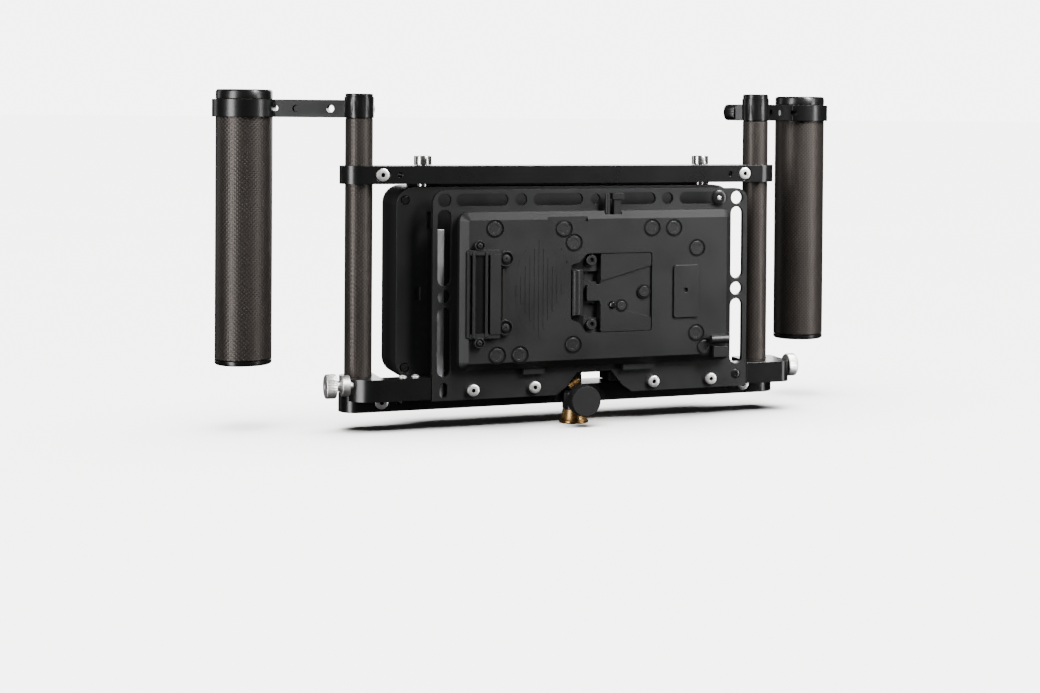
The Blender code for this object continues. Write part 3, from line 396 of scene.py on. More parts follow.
def slab(left, right, base, top, front, back, corner=0.5, corner_steps=4):
    """Upright slab with round corners, between two places along Y, in millimetres."""
    bm = bmesh.new()
    rim = []
    corners = ((right - corner, top - corner), (left + corner, top - corner),
               (left + corner, base + corner), (right - corner, base + corner))
    for quarter, (x, z) in enumerate(corners):
        for step in range(corner_steps + 1):
            angle = math.radians(90.0 * (quarter + step / corner_steps))
            spot = (x + corner * math.cos(angle), front, z + corner * math.sin(angle))
            rim.append(bm.verts.new(Vector(spot) * mm))
    bm.faces.new(rim)
    draw_out(bm, camera_side * (front - back) * mm)
    return bm


def brass_look():
    metal = Recipe("turned_brass", (0.3, 0.165, 0.06), metallic=1.0, roughness=0.3)
    rings = metal.noise(6.0, detail=2.0, vector=metal.stretch(metal.place, (30.0, 30.0, 900.0)))
    metal.roughness(metal.span(rings, 0.24, 0.42))
    metal.colour(metal.blend(metal.noise(160.0), (0.2, 0.12, 0.045), (0.3, 0.17, 0.06)))
    metal.bump(rings, strength=0.15, distance=0.0002)
    return metal.material


def anodised_look():
    metal = Recipe("black_anodised", (0.003, 0.003, 0.0032), roughness=0.28)
    cloud = metal.noise(70.0, detail=4.0)
    metal.roughness(metal.span(cloud, 0.27, 0.3))
    metal.colour(metal.blend(cloud, (0.003, 0.003, 0.0031), (0.0036, 0.0036, 0.0037)))
    metal.bump(metal.noise(5200.0, detail=2.0), strength=0.04, distance=0.00005)
    return metal.material


def matte_look():
    grip = Recipe("matte_black", (0.006, 0.006, 0.006), roughness=0.55)
    grip.shader.inputs["Specular IOR Level"].default_value = 0.3
    grain = grip.noise(3200.0, detail=2.0)
    grip.roughness(grip.span(grain, 0.5, 0.62))
    grip.bump(grain, strength=0.1, distance=0.00008)
    return grip.material


brass = brass_look()
anodised = anodised_look()
matte = matte_look()

flange = extent("stand_spigot")[1].x
spigot = turned([(flange - 0.6, 0.0), (flange, 0.5), (flange, 1.4), (flange - 0.3, 1.8),
                 (neck_radius + 0.9, 3.2), (neck_radius + 0.3, 5.6), (neck_radius, cone_top - 0.4),
                 (neck_radius - 0.4, cone_top), (stud_radius, cone_top), (stud_radius, stud_top - 0.6),
                 (stud_radius - 0.6, stud_top)], along((0.0, 0.0, 0.0), upward), steps=72)
settle("spigot_turned", spigot, brass, "spigot", "brass", "stand_spigot", sharp=30.0)

dress("adapter_socket", anodised, "black_anodised", edge=0.3)

foot = middle_of("adapter_knob")
foot.y = extent("adapter_knob")[0].y + knob_thickness
knob = turned([(knob_screw_radius, -knob_screw_length), (knob_screw_radius, 0.0), (knob_radius - 0.68, 0.0),
               (knob_radius - 0.08, 0.6, "knurl"), (knob_radius, 1.2, "knurl"),
               (knob_radius, knob_thickness - 1.2, "knurl"),
               (knob_radius - 0.18, knob_thickness - 0.5, "knurl"),
               (knob_radius - 0.68, knob_thickness)], along(foot, camera_side), steps=240, teeth=60)
settle("adapter_knob_turned", knob, matte, "adapter_knob", "black_anodised", "adapter_knob")

dress("tilt_pin", brass, "brass", edge=0.3)
hinge = slab(left=-3.0, right=5.6, base=18.0, top=27.4, front=3.2, back=7.6, corner=1.0)
ease(settle("pin_hinge_block", hinge, anodised, "cage", "black_anodised"), width=0.3)

# Posts: 15 mm tubes rolled from woven carbon cloth, whose plain weave shows under a satin lacquer.
# An aluminium insert glued in each top takes the stud of the cap, and a plug closes each foot.
tow_width = 1.15
cloth_dark = (0.001, 0.001, 0.001)
cloth_light = (0.028, 0.0237, 0.0207)
# Brightness of the under tows beside the over tows: painted shade, standing for crossing fibres catching the
# light differently.
under_tow_shade = 0.35
post_radius = 7.5
post_wall = 1.5
cap_stud_radius = 4.5
cap_rim_height = {"left": 1.65, "right": 2.65}
cap_dish_radius = 5.0
cap_hole_radius = 2.9
washer_clearance = 0.01


def weave_look():
    """Plain weave on the piece's own map, whose units are metres round and along the tube, its tows carrying
    painted sheen and shade.
    """
    cloth = Recipe("woven_carbon", cloth_light, roughness=0.38)
    cloth.shader.inputs["Specular Tint"].default_value = (1.0, 0.89, 0.82, 1.0)
    cloth.shader.inputs["Specular IOR Level"].default_value = 0.54
    tube_map = cloth.tree.nodes.new("ShaderNodeUVMap")
    tube_map.uv_map = "tube"
    spot = tube_map.outputs["UV"]
    parts = cloth.tree.nodes.new("ShaderNodeSeparateXYZ")
    cloth.put(parts.inputs["Vector"], spot)
    across = cloth.calculate("DIVIDE", parts.outputs["X"], tow_width * mm)
    up = cloth.calculate("DIVIDE", parts.outputs["Y"], tow_width * mm)
    square = cloth.plus(cloth.calculate("FLOOR", across), cloth.calculate("FLOOR", up))
    over = cloth.calculate("LESS_THAN", cloth.calculate("FLOORED_MODULO", square, 2.0), 0.5)
    under = cloth.calculate("SUBTRACT", 1.0, over)

    def woven(one_way, other_way):
        return cloth.plus(cloth.times(one_way, over), cloth.times(other_way, under))

    def swell(way):
        return cloth.calculate("SINE", cloth.times(cloth.calculate("FRACT", way), math.pi))

    def strands(across_scale, up_scale):
        return cloth.noise(1.0, detail=2.0, vector=cloth.stretch(spot, (across_scale, up_scale, 1.0)))

    height = woven(swell(across), swell(up))
    fibre = woven(strands(across_scale=9000.0, up_scale=700.0), strands(across_scale=700.0, up_scale=9000.0))
    # Under tows are painted darker than over tows, and each tow brighter on its crown than at its sides:
    # painted sheen and shade of the weave, mixed with the fibre pattern.
    lit = cloth.plus(cloth.times(over, 1.0 - under_tow_shade), under_tow_shade)
    shade = cloth.times(lit, cloth.plus(cloth.times(height, 0.5), cloth.times(fibre, 0.5)))
    drift = cloth.span(cloth.noise(30.0, detail=2.0), 0.8, 1.15)
    cloth.colour(cloth.blend(cloth.times(shade, drift), cloth_dark, cloth_light))
    cloth.roughness(cloth.span(fibre, 0.37, 0.44, low=0.2, high=0.8))
    cloth.bump(height, strength=0.45, distance=0.00012)
    return cloth.material


def aluminium_look():
    metal = Recipe("brushed_aluminium", (0.72, 0.72, 0.73), metallic=1.0, roughness=0.34)
    lines = metal.noise(1.0, vector=metal.stretch(metal.place, (5200.0, 5200.0, 240.0)))
    metal.roughness(metal.span(lines, 0.28, 0.44))
    metal.colour(metal.blend(lines, (0.6, 0.6, 0.61), (0.78, 0.78, 0.79)))
    metal.bump(lines, strength=0.08, distance=0.0001)
    return metal.material


def sleeve(inner, outer, low, high, centre, edge=0.3, steps=96):
    """Open ring with eased edges, its ends at two heights."""
    rings = [(inner, low), (outer - edge, low), (outer, low + edge), (outer, high - edge),
             (outer - edge, high), (inner, high), (inner, low)]
    return turned(rings, along((centre.x, centre.y, 0.0), upward), steps)


def tube(low, high, radius, wall, centre, steps=96):
    """Open tube with a map in metres round and along it, for the weave."""
    bm = sleeve(radius - wall, radius, low, high, centre, steps=steps)
    layer = bm.loops.layers.uv.new("tube")
    axis = centre * mm
    for face in bm.faces:
        middle = face.calc_center_median() - axis
        base = math.atan2(middle.y, middle.x)
        for loop in face.loops:
            spot = loop.vert.co - axis
            turn = (math.atan2(spot.y, spot.x) - base + math.pi) % (2 * math.pi) - math.pi
            loop[layer].uv = ((base + turn) * radius * mm, loop.vert.co.z)
    return bm


def post_cap(side, centre):
    """Cap with a dished top, on the stud that goes down through the arm's eye into the insert."""
    low, high = extent(side + "_post_cap")
    foot = low.z
    top = high.z
    rim = top - cap_rim_height[side]
    cap = turned([(cap_stud_radius - 0.3, foot), (cap_stud_radius, foot + 0.3), (cap_stud_radius, rim),
                  (post_radius - 0.1, rim), (post_radius, rim + 0.1), (post_radius, top - 0.4),
                  (post_radius - 0.4, top), (cap_dish_radius, top), (cap_dish_radius - 0.2, top - 0.3),
                  (cap_hole_radius, top - 0.3)], along((centre.x, centre.y, 0.0), upward), steps=72)
    settle(side + "_post_cap_turned", cap, anodised, "cage", "black_anodised", side + "_post_cap",
           sharp=30.0)


def post_washer(side, centre):
    """Thin washer that fills the gap between the post and the arm's eye."""
    low = extent(side + "_post")[1].z + washer_clearance
    high = extent(side + "_arm")[0].z - washer_clearance
    washer = sleeve(cap_stud_radius + 0.5, post_radius - 0.2, low, high, centre, edge=0.05, steps=72)
    settle(side + "_post_washer", washer, anodised, "cage", "black_anodised")


carbon = weave_look()
aluminium = aluminium_look()
for side in ("left", "right"):
    centre = middle_of(side + "_post")
    low, high = extent(side + "_post")
    wrap = tube(low.z, high.z, post_radius, post_wall, centre)
    settle(side + "_post_wound", wrap, carbon, "cage", "carbon_tube", side + "_post")
    dress(side + "_post_insert", aluminium, "bare_aluminium", edge=0.2)
    dress(side + "_post_foot", anodised, "black_anodised", edge=0.3)
    post_cap(side, centre)
    post_washer(side, centre)

# Clamp bars: milled from black anodised aluminium, round at both ends, each slit from the post's bore.
# A bright socket screw pulls each slit shut, and two more go down through the top bar into the monitor.
# Rubber pads under the monitor and a rubber strip behind those two screws take up the gaps.
bar_screw = {"head": 3.6, "height": 4.0, "shank": 1.9, "length": 13.5, "socket": 1.15}
mount_screw = {"head": 4.9, "height": 5.0, "shank": 2.9, "length": 17.0, "socket": 2.4}
strip_half_width = 90.0
strip_front = 21.3
strip_clearance = 0.05


def nickel_look():
    metal = Recipe("nickel_plate", (0.9, 0.89, 0.87), metallic=1.0, roughness=0.42)
    cloud = metal.noise(420.0)
    metal.roughness(metal.span(cloud, 0.36, 0.48))
    metal.colour(metal.blend(cloud, (0.86, 0.85, 0.83), (0.96, 0.95, 0.93)))
    return metal.material


def steel_look():
    metal = Recipe("polished_steel", (0.62, 0.61, 0.6), metallic=1.0, roughness=0.2)
    metal.roughness(metal.span(metal.noise(500.0), 0.14, 0.26))
    return metal.material


def rubber_look():
    soft = Recipe("black_rubber", (0.018, 0.018, 0.018), roughness=0.78)
    cloud = soft.noise(800.0)
    soft.roughness(soft.span(cloud, 0.7, 0.86))
    soft.bump(cloud, strength=0.2, distance=0.0001)
    return soft.material


def socket_screw(seat, axis, head, height, shank, length, socket):
    """Cap screw with a domed rim and a hexagon socket, its under-head face on the seat."""
    mouth = socket * 1.12
    wall = socket * 1.06
    return turned([(shank - 0.3, -length), (shank, -length + 0.4), (shank, 0.0), (head - 0.2, 0.0),
                   (head, 0.2), (head, height - 0.4), (head - 0.12, height - 0.15), (head - 0.4, height),
                   (socket * 1.4, height), (mouth, height, "hex"), (wall, height - 0.2, "hex"),
                   (wall, height * 0.3, "hex")], along(seat, axis), steps=48)


def plated_screw(node, seat, axis, look, sizes):
    """The node's screw in bright metal, with a black cup of painted shade inside its socket."""
    screw = socket_screw(seat, axis, **sizes)
    settle(node + "_plated", screw, look, "cage", "bright_steel", node, sharp=30.0)
    height = sizes["height"]
    socket = sizes["socket"]
    lip = height - 0.22
    # Black cup over the socket's walls: painted shade in the depth of the socket.
    shade_cup = turned([(socket * 1.05, height * 0.3 + 0.02, "hex"), (socket * 1.05, lip, "hex"),
                  (socket * 0.98, lip, "hex"), (socket * 0.96, height * 0.4, "hex")],
                 along(seat, axis), steps=48)
    settle(node + "_socket_shade", shade_cup, anodised, "cage", "black_anodised")


nickel = nickel_look()
steel = steel_look()
rubber = rubber_look()
for bar in ("top_bar", "bottom_bar"):
    dress(bar, anodised, "black_anodised", edge=0.35)
    for end in ("left", "right"):
        node = f"{bar}_screw_{end}"
        seat = middle_of(node)
        seat.y = extent(node)[0].y + bar_screw["height"]
        plated_screw(node, seat, camera_side, nickel, bar_screw)
for end in ("left", "right"):
    node = "top_mount_screw_" + end
    seat = middle_of(node)
    seat.z = extent(node)[1].z - mount_screw["height"]
    plated_screw(node, seat, upward, steel, mount_screw)
for end in ("left", "right"):
    dress("rest_pad_" + end, rubber, "pad_rubber", edge=0.4)
low, high = extent("top_bar")
crown = extent("monitor_shell")[1].z
strip = slab(left=-strip_half_width, right=strip_half_width, base=crown + strip_clearance,
             top=low.z - strip_clearance, front=strip_front, back=high.y - 1.0, corner=0.3)
settle("top_rest_strip", strip, rubber, "cage", "pad_rubber")

# Swing arms: flat bars milled in one piece with the eye on the post's stud and the ring round the handle.
# A knurled knob in the eye's lug locks the swing, and a set screw sits in the blind hole of the bar.
arm_knob_out = 11.5
arm_knob_radius = 4.78
arm_knob_length = 7.8
arm_screw_radius = 2.0
arm_screw_length = 6.3
set_screw_radius = 1.75
set_screw_out = {"left": 34.2, "right": 28.0}
set_screw_length = {"left": 1.9, "right": 2.9}
set_screw_finish = {"left": (anodised, "black_anodised"), "right": (nickel, "bright_steel")}


def arm_knob(side, eye, axis):
    """Knurled knob with a dished end, on the screw that bears on the stud in the arm's eye."""
    dish = arm_screw_radius - 0.4
    end = arm_knob_length
    knob = turned([(arm_screw_radius, -arm_screw_length), (arm_screw_radius, 0.0),
                   (arm_knob_radius - 0.48, 0.0), (arm_knob_radius - 0.08, 0.4, "knurl"),
                   (arm_knob_radius, 0.8, "knurl"), (arm_knob_radius, end - 0.8, "knurl"),
                   (arm_knob_radius - 0.28, end - 0.2, "knurl"), (arm_knob_radius - 0.78, end),
                   (dish, end), (dish - 0.2, end - 0.4)],
                  along(eye + axis * arm_knob_out, axis), steps=144, teeth=36)
    settle(side + "_arm_knob_turned", knob, anodised, side + "_arm_knob", "black_anodised",
           side + "_arm_knob")


def set_screw(side, eye, axis):
    """Set screw in the bar's blind hole, black in the left arm and bright in the right."""
    bar_way = Vector((-axis.y, axis.x, 0.0)) if side == "left" else Vector((axis.y, -axis.x, 0.0))
    grub = turned([(set_screw_radius - 0.05, -0.3), (set_screw_radius, 0.0),
                   (set_screw_radius, set_screw_length[side])],
                  along(eye + bar_way * set_screw_out[side], -axis), steps=32)
    look, slot = set_screw_finish[side]
    settle(side + "_arm_set_screw", grub, look, side + "_arm", slot)


for side in ("left", "right"):
    dress(side + "_arm", anodised, "black_anodised", edge=0.0)
    joint = next(joint for joint in frame["joints"] if joint["name"] == side + "_arm_knob_turn")
    axis = Vector(joint["axis"]).normalized()
    eye = Vector(joint["pos_m"]) / mm
    arm_knob(side, eye, axis)
    set_screw(side, eye, axis)

# Handles: wide carbon tubes with the same weave, closed by a stepped cap above the ring and a plug below.
# They slide in the ring of the arm, which grips them all round.
handle_wall = 2.0
handle_plug_radius = 12.95
handle_cap_height = 4.95
handle_cap_dish_radius = 12.4
handle_end_height = 2.6
handle_end_foot_radius = 12.6


def handle_cap(side, radius, stand):
    """Stepped cap with a dished top, its plug down inside the tube."""
    low, high = extent(side + "_handle_cap")
    foot = low.z
    top = high.z
    rim = top - handle_cap_height
    cap = turned([(handle_plug_radius - 0.15, foot), (handle_plug_radius, foot + 0.3),
                  (handle_plug_radius, rim), (radius - 0.1, rim), (radius, rim + 0.1), (radius, top - 1.2),
                  (radius - 0.35, top - 0.5), (radius - 0.85, top), (handle_cap_dish_radius, top),
                  (handle_cap_dish_radius - 0.3, top - 0.4), (handle_cap_dish_radius - 0.8, top - 0.5)],
                 stand, steps=128)
    settle(side + "_handle_cap_turned", cap, anodised, side + "_handle", "black_anodised",
           side + "_handle_cap", sharp=30.0)


def handle_end(side, radius, stand):
    """Plug with a rounded foot, its stem up inside the tube."""
    low, high = extent(side + "_handle_end")
    base = low.z
    rim = base + handle_end_height
    top = high.z
    end = turned([(handle_end_foot_radius, base), (radius - 0.85, base), (radius - 0.15, base + 0.5),
                  (radius, base + 1.0), (radius, rim - 0.1), (radius - 0.15, rim),
                  (handle_plug_radius, rim), (handle_plug_radius, top - 0.3),
                  (handle_plug_radius - 0.35, top)], stand, steps=128)
    settle(side + "_handle_end_turned", end, anodised, side + "_handle", "black_anodised",
           side + "_handle_end", sharp=30.0)


for side in ("left", "right"):
    centre = middle_of(side + "_handle")
    low, high = extent(side + "_handle")
    radius = (high.x - low.x) / 2
    grip = tube(low.z, high.z, radius, handle_wall, centre, steps=128)
    settle(side + "_handle_wound", grip, carbon, side + "_handle", "carbon_tube", side + "_handle")
    stand = along((centre.x, centre.y, 0.0), upward)
    handle_cap(side, radius, stand)
    handle_end(side, radius, stand)

# Rear brackets: split blocks round the posts with a web along the foot of the slotted plate.
# A bright thumbscrew closes each block, and two small pan screws sit on top of each bracket.
# Four socket screws hold the slotted plate to the webs, each ringed by a thin dark ring of painted shadow
# sunk a little into the plate.
thumb_radius = 6.6
thumb_head = 5.6
thumb_screw_radius = 2.0
thumb_screw_length = 13.0
thumb_reach = {"left": 7.2, "right": 0.0}
collar_radius = 5.7
collar_height = 4.2
collar_neck_radius = 2.9
pan_screw_radius = 2.2
pan_screw_out = (97.0, 90.0)
pan_screw_back = 3.6
bracket_screw = {"head": 3.3, "height": 2.2, "shank": 1.9, "length": 8.0, "socket": 1.1}
# Size of the dark ring of painted shadow round each bracket screw's head.
shadow_bore = 2.2
shadow_radius = 4.4
shadow_thickness = 0.2
shadow_drop = 0.26


def thumbscrew(side, sign):
    """Knurled thumbscrew, which on the left stands off on a plain collar and neck."""
    node = side + "_thumbscrew"
    reach = thumb_reach[side]
    end = reach + thumb_head
    rings = [(thumb_screw_radius - 0.2, -thumb_screw_length),
             (thumb_screw_radius, 0.2 - thumb_screw_length), (thumb_screw_radius, 0.0)]
    if reach:
        rings += [(collar_radius - 0.2, 0.0), (collar_radius, 0.2), (collar_radius, collar_height - 0.3),
                  (collar_radius - 0.3, collar_height), (collar_neck_radius, collar_height),
                  (collar_neck_radius, reach)]
    rings += [(thumb_radius - 0.4, reach), (thumb_radius - 0.05, reach + 0.3, "knurl"),
              (thumb_radius, reach + 0.6, "knurl"), (thumb_radius, end - 0.7, "knurl"),
              (thumb_radius - 0.15, end - 0.3, "knurl"), (thumb_radius - 0.6, end),
              (thumb_screw_radius + 0.6, end), (thumb_screw_radius + 0.4, end - 0.2)]
    low, high = extent(node)
    foot = middle_of(node)
    foot.x = high.x - end if side == "right" else low.x + end
    knob = turned(rings, along(foot, (sign, 0, 0)), steps=240, teeth=48)
    settle(node + "_knurled", knob, nickel, node, "bright_steel", node)


def pan_screws(side, sign):
    """Two low round heads on the bracket's top."""
    bracket_top = extent(side + "_rear_bracket")[1].z
    for x in pan_screw_out:
        pan = turned([(pan_screw_radius - 0.1, 0.0), (pan_screw_radius, 0.1), (pan_screw_radius - 0.1, 0.6),
                      (pan_screw_radius - 0.6, 0.95), (0.9, 1.05), (0.8, 0.6)],
                     along((sign * x, pan_screw_back, bracket_top), upward), steps=32)
        settle(f"{side}_bracket_top_screw_{x:.0f}", pan, nickel, "cage", "bright_steel")


def painted_screw_shadow(index, seat):
    """Flat dark ring under a screw's head, sunk a little into the plate: painted shadow round the head."""
    washer = turned([(shadow_bore, 0.0), (shadow_radius, 0.0), (shadow_radius, shadow_thickness),
                     (shadow_bore, shadow_thickness), (shadow_bore, 0.0)],
                    along(seat - camera_side * shadow_drop, camera_side), steps=48)
    settle(f"painted_screw_shadow_{index}", washer, matte, "cage", "black_anodised")


for side, sign in (("left", -1), ("right", 1)):
    dress(side + "_rear_bracket", anodised, "black_anodised", edge=0.3, angle=50.0)
    thumbscrew(side, sign)
    pan_screws(side, sign)
for index in range(1, 5):
    node = f"bracket_screw_{index}"
    seat = middle_of(node)
    seat.y = extent(node)[0].y + bracket_screw["height"]
    plated_screw(node, seat, camera_side, nickel, bracket_screw)
    painted_screw_shadow(index, seat)

# Slotted plate: 3 mm black anodised plate with two columns and a row of slots, and an arch over the adapter.
# A bare aluminium strap lies behind its left slots and one screw waits in the top row.
# A black plug fills the hole in its lower right corner.
row_screw = {"head": 4.4, "height": 1.6, "shank": 2.4, "length": 5.0, "socket": 1.4}
row_screw_tip_radius = 1.3
row_screw_tip_out = 0.6
corner_plug_radius = 2.8
corner_plug_depth = 0.5
corner_plug_in = 6.5
corner_plug_up = 7.0


def satin_look():
    metal = Recipe("satin_anodised", (0.0055, 0.0055, 0.0056), roughness=0.45)
    metal.shader.inputs["Specular IOR Level"].default_value = 0.4
    cloud = metal.noise(60.0)
    metal.roughness(metal.span(cloud, 0.41, 0.49))
    metal.colour(metal.blend(cloud, (0.0048, 0.0048, 0.0049), (0.0062, 0.0062, 0.0063)))
    metal.bump(metal.noise(3600.0, detail=2.0, roughness=0.6), strength=0.12, distance=0.00006)
    return metal.material


dress("slotted_plate", satin_look(), "black_anodised", edge=0.2, angle=60.0, join=False)
dress("edge_strap", aluminium, "bare_aluminium", edge=0.15)
seat = middle_of("slot_screw")
seat.y = extent("slot_screw")[0].y + row_screw["height"]
screw = socket_screw(seat, camera_side, **row_screw)
settle("slot_screw_blackened", screw, anodised, "cage", "black_anodised", "slot_screw", sharp=30.0)
tip = turned([(row_screw_tip_radius, 0.0), (row_screw_tip_radius, 0.5), (row_screw_tip_radius - 0.4, 0.7)],
             along(seat + camera_side * row_screw_tip_out, camera_side), steps=32)
settle("slot_screw_tip", tip, nickel, "cage", "bright_steel")
low, high = extent("slotted_plate")
corner = (high.x - corner_plug_in, high.y - corner_plug_depth, low.z + corner_plug_up)
stopper = turned([(corner_plug_radius, 0.0), (corner_plug_radius, 2.0), (corner_plug_radius - 0.3, 2.2),
                  (1.2, 2.2), (1.1, 1.8)], along(corner, camera_side), steps=48)
settle("plate_corner_plug", stopper, anodised, "cage", "black_anodised")

# Monitor: a moulded black case with soft corners, a dark screen on the operator's side and four back screws.
# One button and one dial stand beside the screen.


def case_look():
    shell = Recipe("moulded_case", (0.0032, 0.0032, 0.0034), roughness=0.42)
    shell.shader.inputs["Specular IOR Level"].default_value = 0.3
    cloud = shell.noise(26.0)
    shell.roughness(shell.span(cloud, 0.4, 0.5))
    shell.colour(shell.blend(cloud, (0.0028, 0.0028, 0.003), (0.0038, 0.0038, 0.004)))
    shell.bump(shell.noise(2600.0, detail=2.0, roughness=0.6), strength=0.18, distance=0.0001)
    return shell.material


def screen_look():
    pane = Recipe("dark_screen", (0.006, 0.006, 0.008), roughness=0.07, coat=0.6, coat_roughness=0.03)
    pane.roughness(pane.span(pane.noise(14.0, detail=4.0), 0.05, 0.11))
    return pane.material


case = case_look()
dress("monitor_shell", case, "monitor_case", edge=0.3, angle=50.0)
dress("monitor_glass", screen_look(), "screen_glass", edge=0.3)
for corner in ("lower_left", "upper_left", "lower_right", "upper_right"):
    dress("back_screw_" + corner, anodised, "black_anodised", edge=0.3)
dress("power_button", case, "small_plastic", edge=0.2)
dress("menu_dial", case, "small_plastic", edge=0.1)

# Battery plate: moulded from black plastic, with dimples, a recess for the battery's lock and small covers.
# A latch pin stands in the wedge of the lock, and a lever on the top edge draws it back.
# A lozenge of fine ribs stands between the contacts and the lock.
dimples = ((-50.1, 110.0), (-10.5, 109.4), (-4.6, 101.6), (41.7, 109.2), (55.0, 109.0), (69.2, 97.3),
           (69.1, 48.8), (74.5, 40.6), (-4.8, 44.9), (-48.4, 40.6), (-35.5, 40.4))
lozenge_centre = (-22.6, 76.6)
lozenge_half_width = 15.8
lozenge_half_height = 28.8
lozenge_steps = 48
lozenge_thickness = 0.5
lozenge_rise = 0.06
rib_rise = 0.26
rib_middle = (-24.1, 76.7)
rib_pitch = 2.6
rib_half_width = 0.8
rib_half_length = 27.0
ribs_beside_middle = 5
lock_recess_floor = -8.7
lock_bosses = {"upper": (6.1, 91.6), "lower": (6.4, 55.8)}
boss_radius = 3.0
boss_height = 2.8
roller_foot = (-2.1, -9.7, 61.2)
roller_radius = 2.85
roller_length = 25.2
plate_front = extent("battery_plate")[0].y
wedge_front = extent("lock_wedge")[0].y


def plate_look():
    shell = Recipe("moulded_plate", (0.007, 0.007, 0.0072), roughness=0.46)
    shell.shader.inputs["Specular IOR Level"].default_value = 0.35
    cloud = shell.noise(34.0)
    shell.roughness(shell.span(cloud, 0.4, 0.52))
    shell.colour(shell.blend(cloud, (0.0062, 0.0062, 0.0064), (0.0082, 0.0082, 0.0084)))
    shell.bump(shell.noise(2200.0, detail=2.0, roughness=0.6), strength=0.25, distance=0.00012)
    return shell.material


def plug(name, x, y, z, radius, height, hole):
    """Round plug in a dark ring of painted shade, with a shallow step in its middle."""
    place = along((x, y, z), camera_side)
    # Thin dark ring round the plug: painted shade in the gap of its dimple.
    ring = turned([(radius + 1.0, 0.0), (radius + 1.0, 0.06), (radius, 0.08)], place, steps=48)
    settle(name + "_shade_ring", ring, anodised, "cage", "black_anodised")
    disc = turned([(radius, 0.02), (radius, height - 0.15), (radius - 0.2, height), (hole + 0.15, height),
                   (hole, height - 0.15)], place, steps=48)
    settle(name, disc, plate, "cage", "small_plastic")


def merge(target, other):
    """Add another mesh to the first, as a form that is fixed to it."""
    held = bpy.data.meshes.new("held")
    other.to_mesh(held)
    other.free()
    target.from_mesh(held)
    bpy.data.meshes.remove(held)


def lozenge_ribs():
    """Thin oval pad with upright ribs, the longest in the middle."""
    bm = bmesh.new()
    back = plate_front + lozenge_thickness - lozenge_rise
    place = along((lozenge_centre[0], back, lozenge_centre[1]), camera_side)
    bmesh.ops.create_circle(bm, cap_ends=True, segments=lozenge_steps, radius=1.0)
    oval = Matrix.Diagonal((lozenge_half_width * mm, lozenge_half_height * mm, 1.0, 1.0))
    draw_out(bm, upward * lozenge_thickness * mm)
    bmesh.ops.transform(bm, matrix=place @ oval, verts=bm.verts)
    for step in range(-ribs_beside_middle, ribs_beside_middle + 1):
        x = rib_middle[0] + step * rib_pitch
        z = rib_middle[1]
        half = rib_half_length * (1.0 - abs(step) / (ribs_beside_middle + 0.6))
        merge(bm, slab(left=x - rib_half_width, right=x + rib_half_width, base=z - half, top=z + half,
                       front=plate_front - rib_rise, back=plate_front, corner=0.2))
    return bm


plate = plate_look()
dress("battery_plate", plate, "plate_plastic", edge=0.0)
for node in ("lock_wedge", "release_lever", "connector_cover", "outlet_block", "outlet_plug"):
    dress(node, plate, "small_plastic", edge=0.15, join=False)
for index, (x, z) in enumerate(dimples, start=1):
    plug(f"dimple_plug_{index}", x, plate_front + 0.48, z, radius=3.9, height=0.45, hole=2.3)
plug("insert_plug_upper", 37.4, wedge_front - 0.02, 73.4, radius=3.0, height=0.45, hole=1.0)
plug("insert_plug_lower", 23.8, wedge_front - 0.02, 65.8, radius=2.6, height=0.4, hole=0.5)
settle("lozenge_ribs", lozenge_ribs(), plate, "cage", "small_plastic")

# Black sheet on the floor of the lock recess: painted shade in the recess beside the roller.
lock_recess_shade = slab(left=-5.9, right=2.2, base=53.0, top=93.0, front=lock_recess_floor - 0.04,
                  back=lock_recess_floor + 0.06, corner=0.3)
settle("lock_recess_shade", lock_recess_shade, anodised, "cage", "black_anodised")
roller = turned([(roller_radius - 0.25, 0.0), (roller_radius, 0.3), (roller_radius, roller_length - 0.3),
                 (roller_radius - 0.25, roller_length)], along(roller_foot, upward))
settle("latch_roller", roller, plate, "cage", "small_plastic")
for name, (x, z) in lock_bosses.items():
    boss = turned([(boss_radius, 0.0), (boss_radius, boss_height - 0.3), (boss_radius - 0.3, boss_height),
                   (1.5, boss_height), (1.4, boss_height - 0.6), (1.2, boss_height - 0.6),
                   (1.1, boss_height - 0.9, "hex"), (1.0, boss_height - 1.4, "hex")],
                  along((x, lock_recess_floor, z), camera_side), steps=48)
    settle(f"lock_boss_{name}", boss, plate, "cage", "small_plastic")
dress("latch_pin", anodised, "black_anodised", edge=0.2)

# Contact housing: moulded rails round a deep slot on the left of the plate, its brass contacts and the floor
# of its slot darkened with painted shade.
# Four lobes on its outline take the screws that hold it to the plate.
housing_front, housing_back = (corner.y for corner in extent("contact_block"))
rail_foot = 51.3
rail_length = 46.6
contact_rails = ((-65.8, 0.8), (-62.5, 0.9), (-55.4, 0.8))
contact_lobes = {"right_upper": (-44.3, 93.8, 4.3), "right_lower": (-44.6, 56.2, 4.3),
                 "left_upper": (-59.1, 101.2, 2.9), "left_lower": (-59.0, 48.2, 2.9)}
lobe_height = 3.1
lobe_floor = 2.2


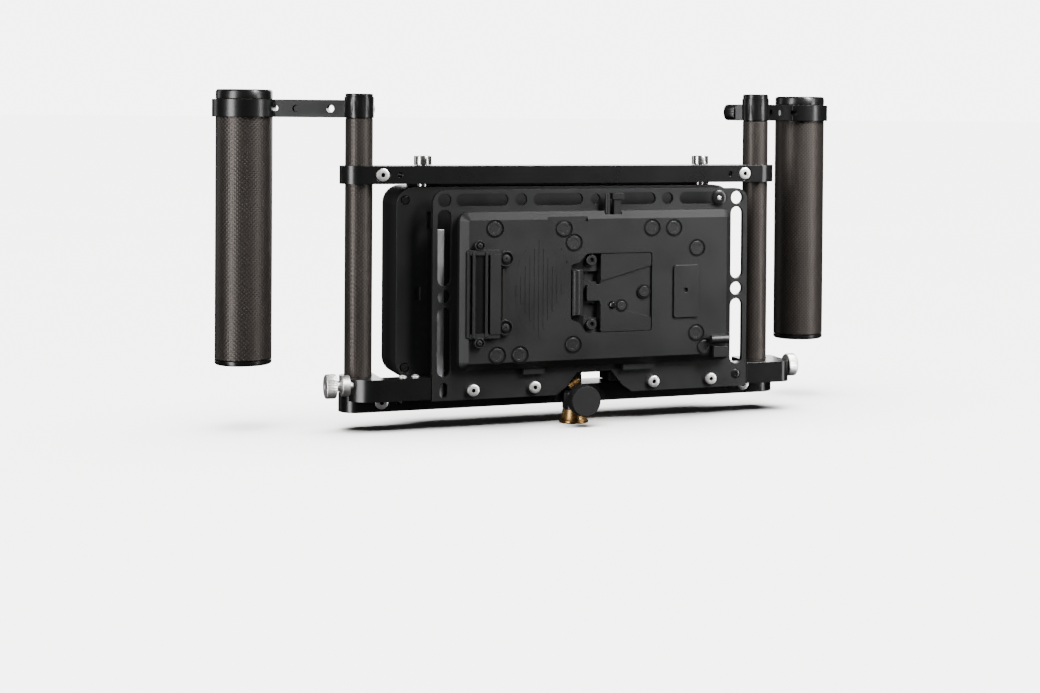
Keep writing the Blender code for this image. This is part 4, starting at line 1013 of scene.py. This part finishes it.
def contact_housing():
    """Block with a raised rail along its right side, its top and its foot."""
    bm = slab(left=-66.6, right=-47.2, base=50.4, top=98.8, front=housing_front + 1.9, back=housing_back,
              corner=1.2)
    seam = housing_front + 2.2
    merge(bm, slab(left=-53.4, right=-47.4, base=52.8, top=96.4, front=housing_front + 0.4, back=seam))
    for base in (96.0, 50.6):
        merge(bm, slab(left=-64.8, right=-47.6, base=base, top=base + 2.6, front=housing_front + 0.9,
                       back=seam))
    return bm


def contact_lobe(name, x, z, radius):
    """Round lobe with a dark disc of painted shade on its floor, and the head of its screw."""
    place = along((x, plate_front - 0.02, z), camera_side)
    lobe = turned([(radius, 0.0), (radius, lobe_height - 0.2), (radius - 0.2, lobe_height),
                   (radius - 0.6, lobe_height), (radius - 0.7, lobe_floor)], place, steps=48)
    settle(f"contact_lobe_{name}", lobe, plate, "cage", "small_plastic")
    # Black disc on the lobe's floor round the screw: painted shade in the lobe's recess.
    shade_disc = turned([(radius - 0.72, lobe_floor - 0.1), (radius - 0.72, lobe_floor + 0.04)], place, steps=48)
    settle(f"contact_lobe_{name}_shade_disc", shade_disc, anodised, "cage", "black_anodised")
    head = radius * 0.5
    screw_top = lobe_floor + 0.75
    screw = turned([(head, lobe_floor), (head, screw_top - 0.15), (head * 0.84, screw_top), (0.6, screw_top),
                    (0.5, screw_top - 0.35)], place, steps=32)
    settle(f"contact_lobe_{name}_screw", screw, matte, "cage", "black_anodised")


def shadowed_brass_look():
    # Brass darkened almost to black: painted shade for contacts deep in the housing's slot.
    metal = Recipe("shade_darkened_brass", (0.004, 0.003, 0.002), metallic=0.3, roughness=0.6)
    metal.roughness(metal.span(metal.noise(300.0), 0.54, 0.66))
    return metal.material


housing = settle("contact_housing", contact_housing(), plate, "cage", "small_plastic", "contact_block")
ease(housing, width=0.3, segments=3)
# Black sheet in the housing's deep slot: painted shade where the slot lies in shadow.
slot_shade = slab(left=-61.5, right=-56.3, base=53.4, top=95.8, front=housing_front + 1.8,
                  back=housing_front + 2.0, corner=0.3)
settle("contact_slot_shade", slot_shade, anodised, "cage", "black_anodised")
for index, (x, radius) in enumerate(contact_rails, start=1):
    rail = turned([(radius - 0.2, 0.0), (radius, 0.2), (radius, rail_length - 0.2),
                   (radius - 0.2, rail_length)],
                  along((x, housing_front + radius + 0.05, rail_foot), upward), steps=32)
    settle(f"contact_rail_{index}", rail, matte, "cage", "small_plastic")
for name, (x, z, radius) in contact_lobes.items():
    contact_lobe(name, x, z, radius)
dress("contact_strip", shadowed_brass_look(), "brass", edge=0.1)
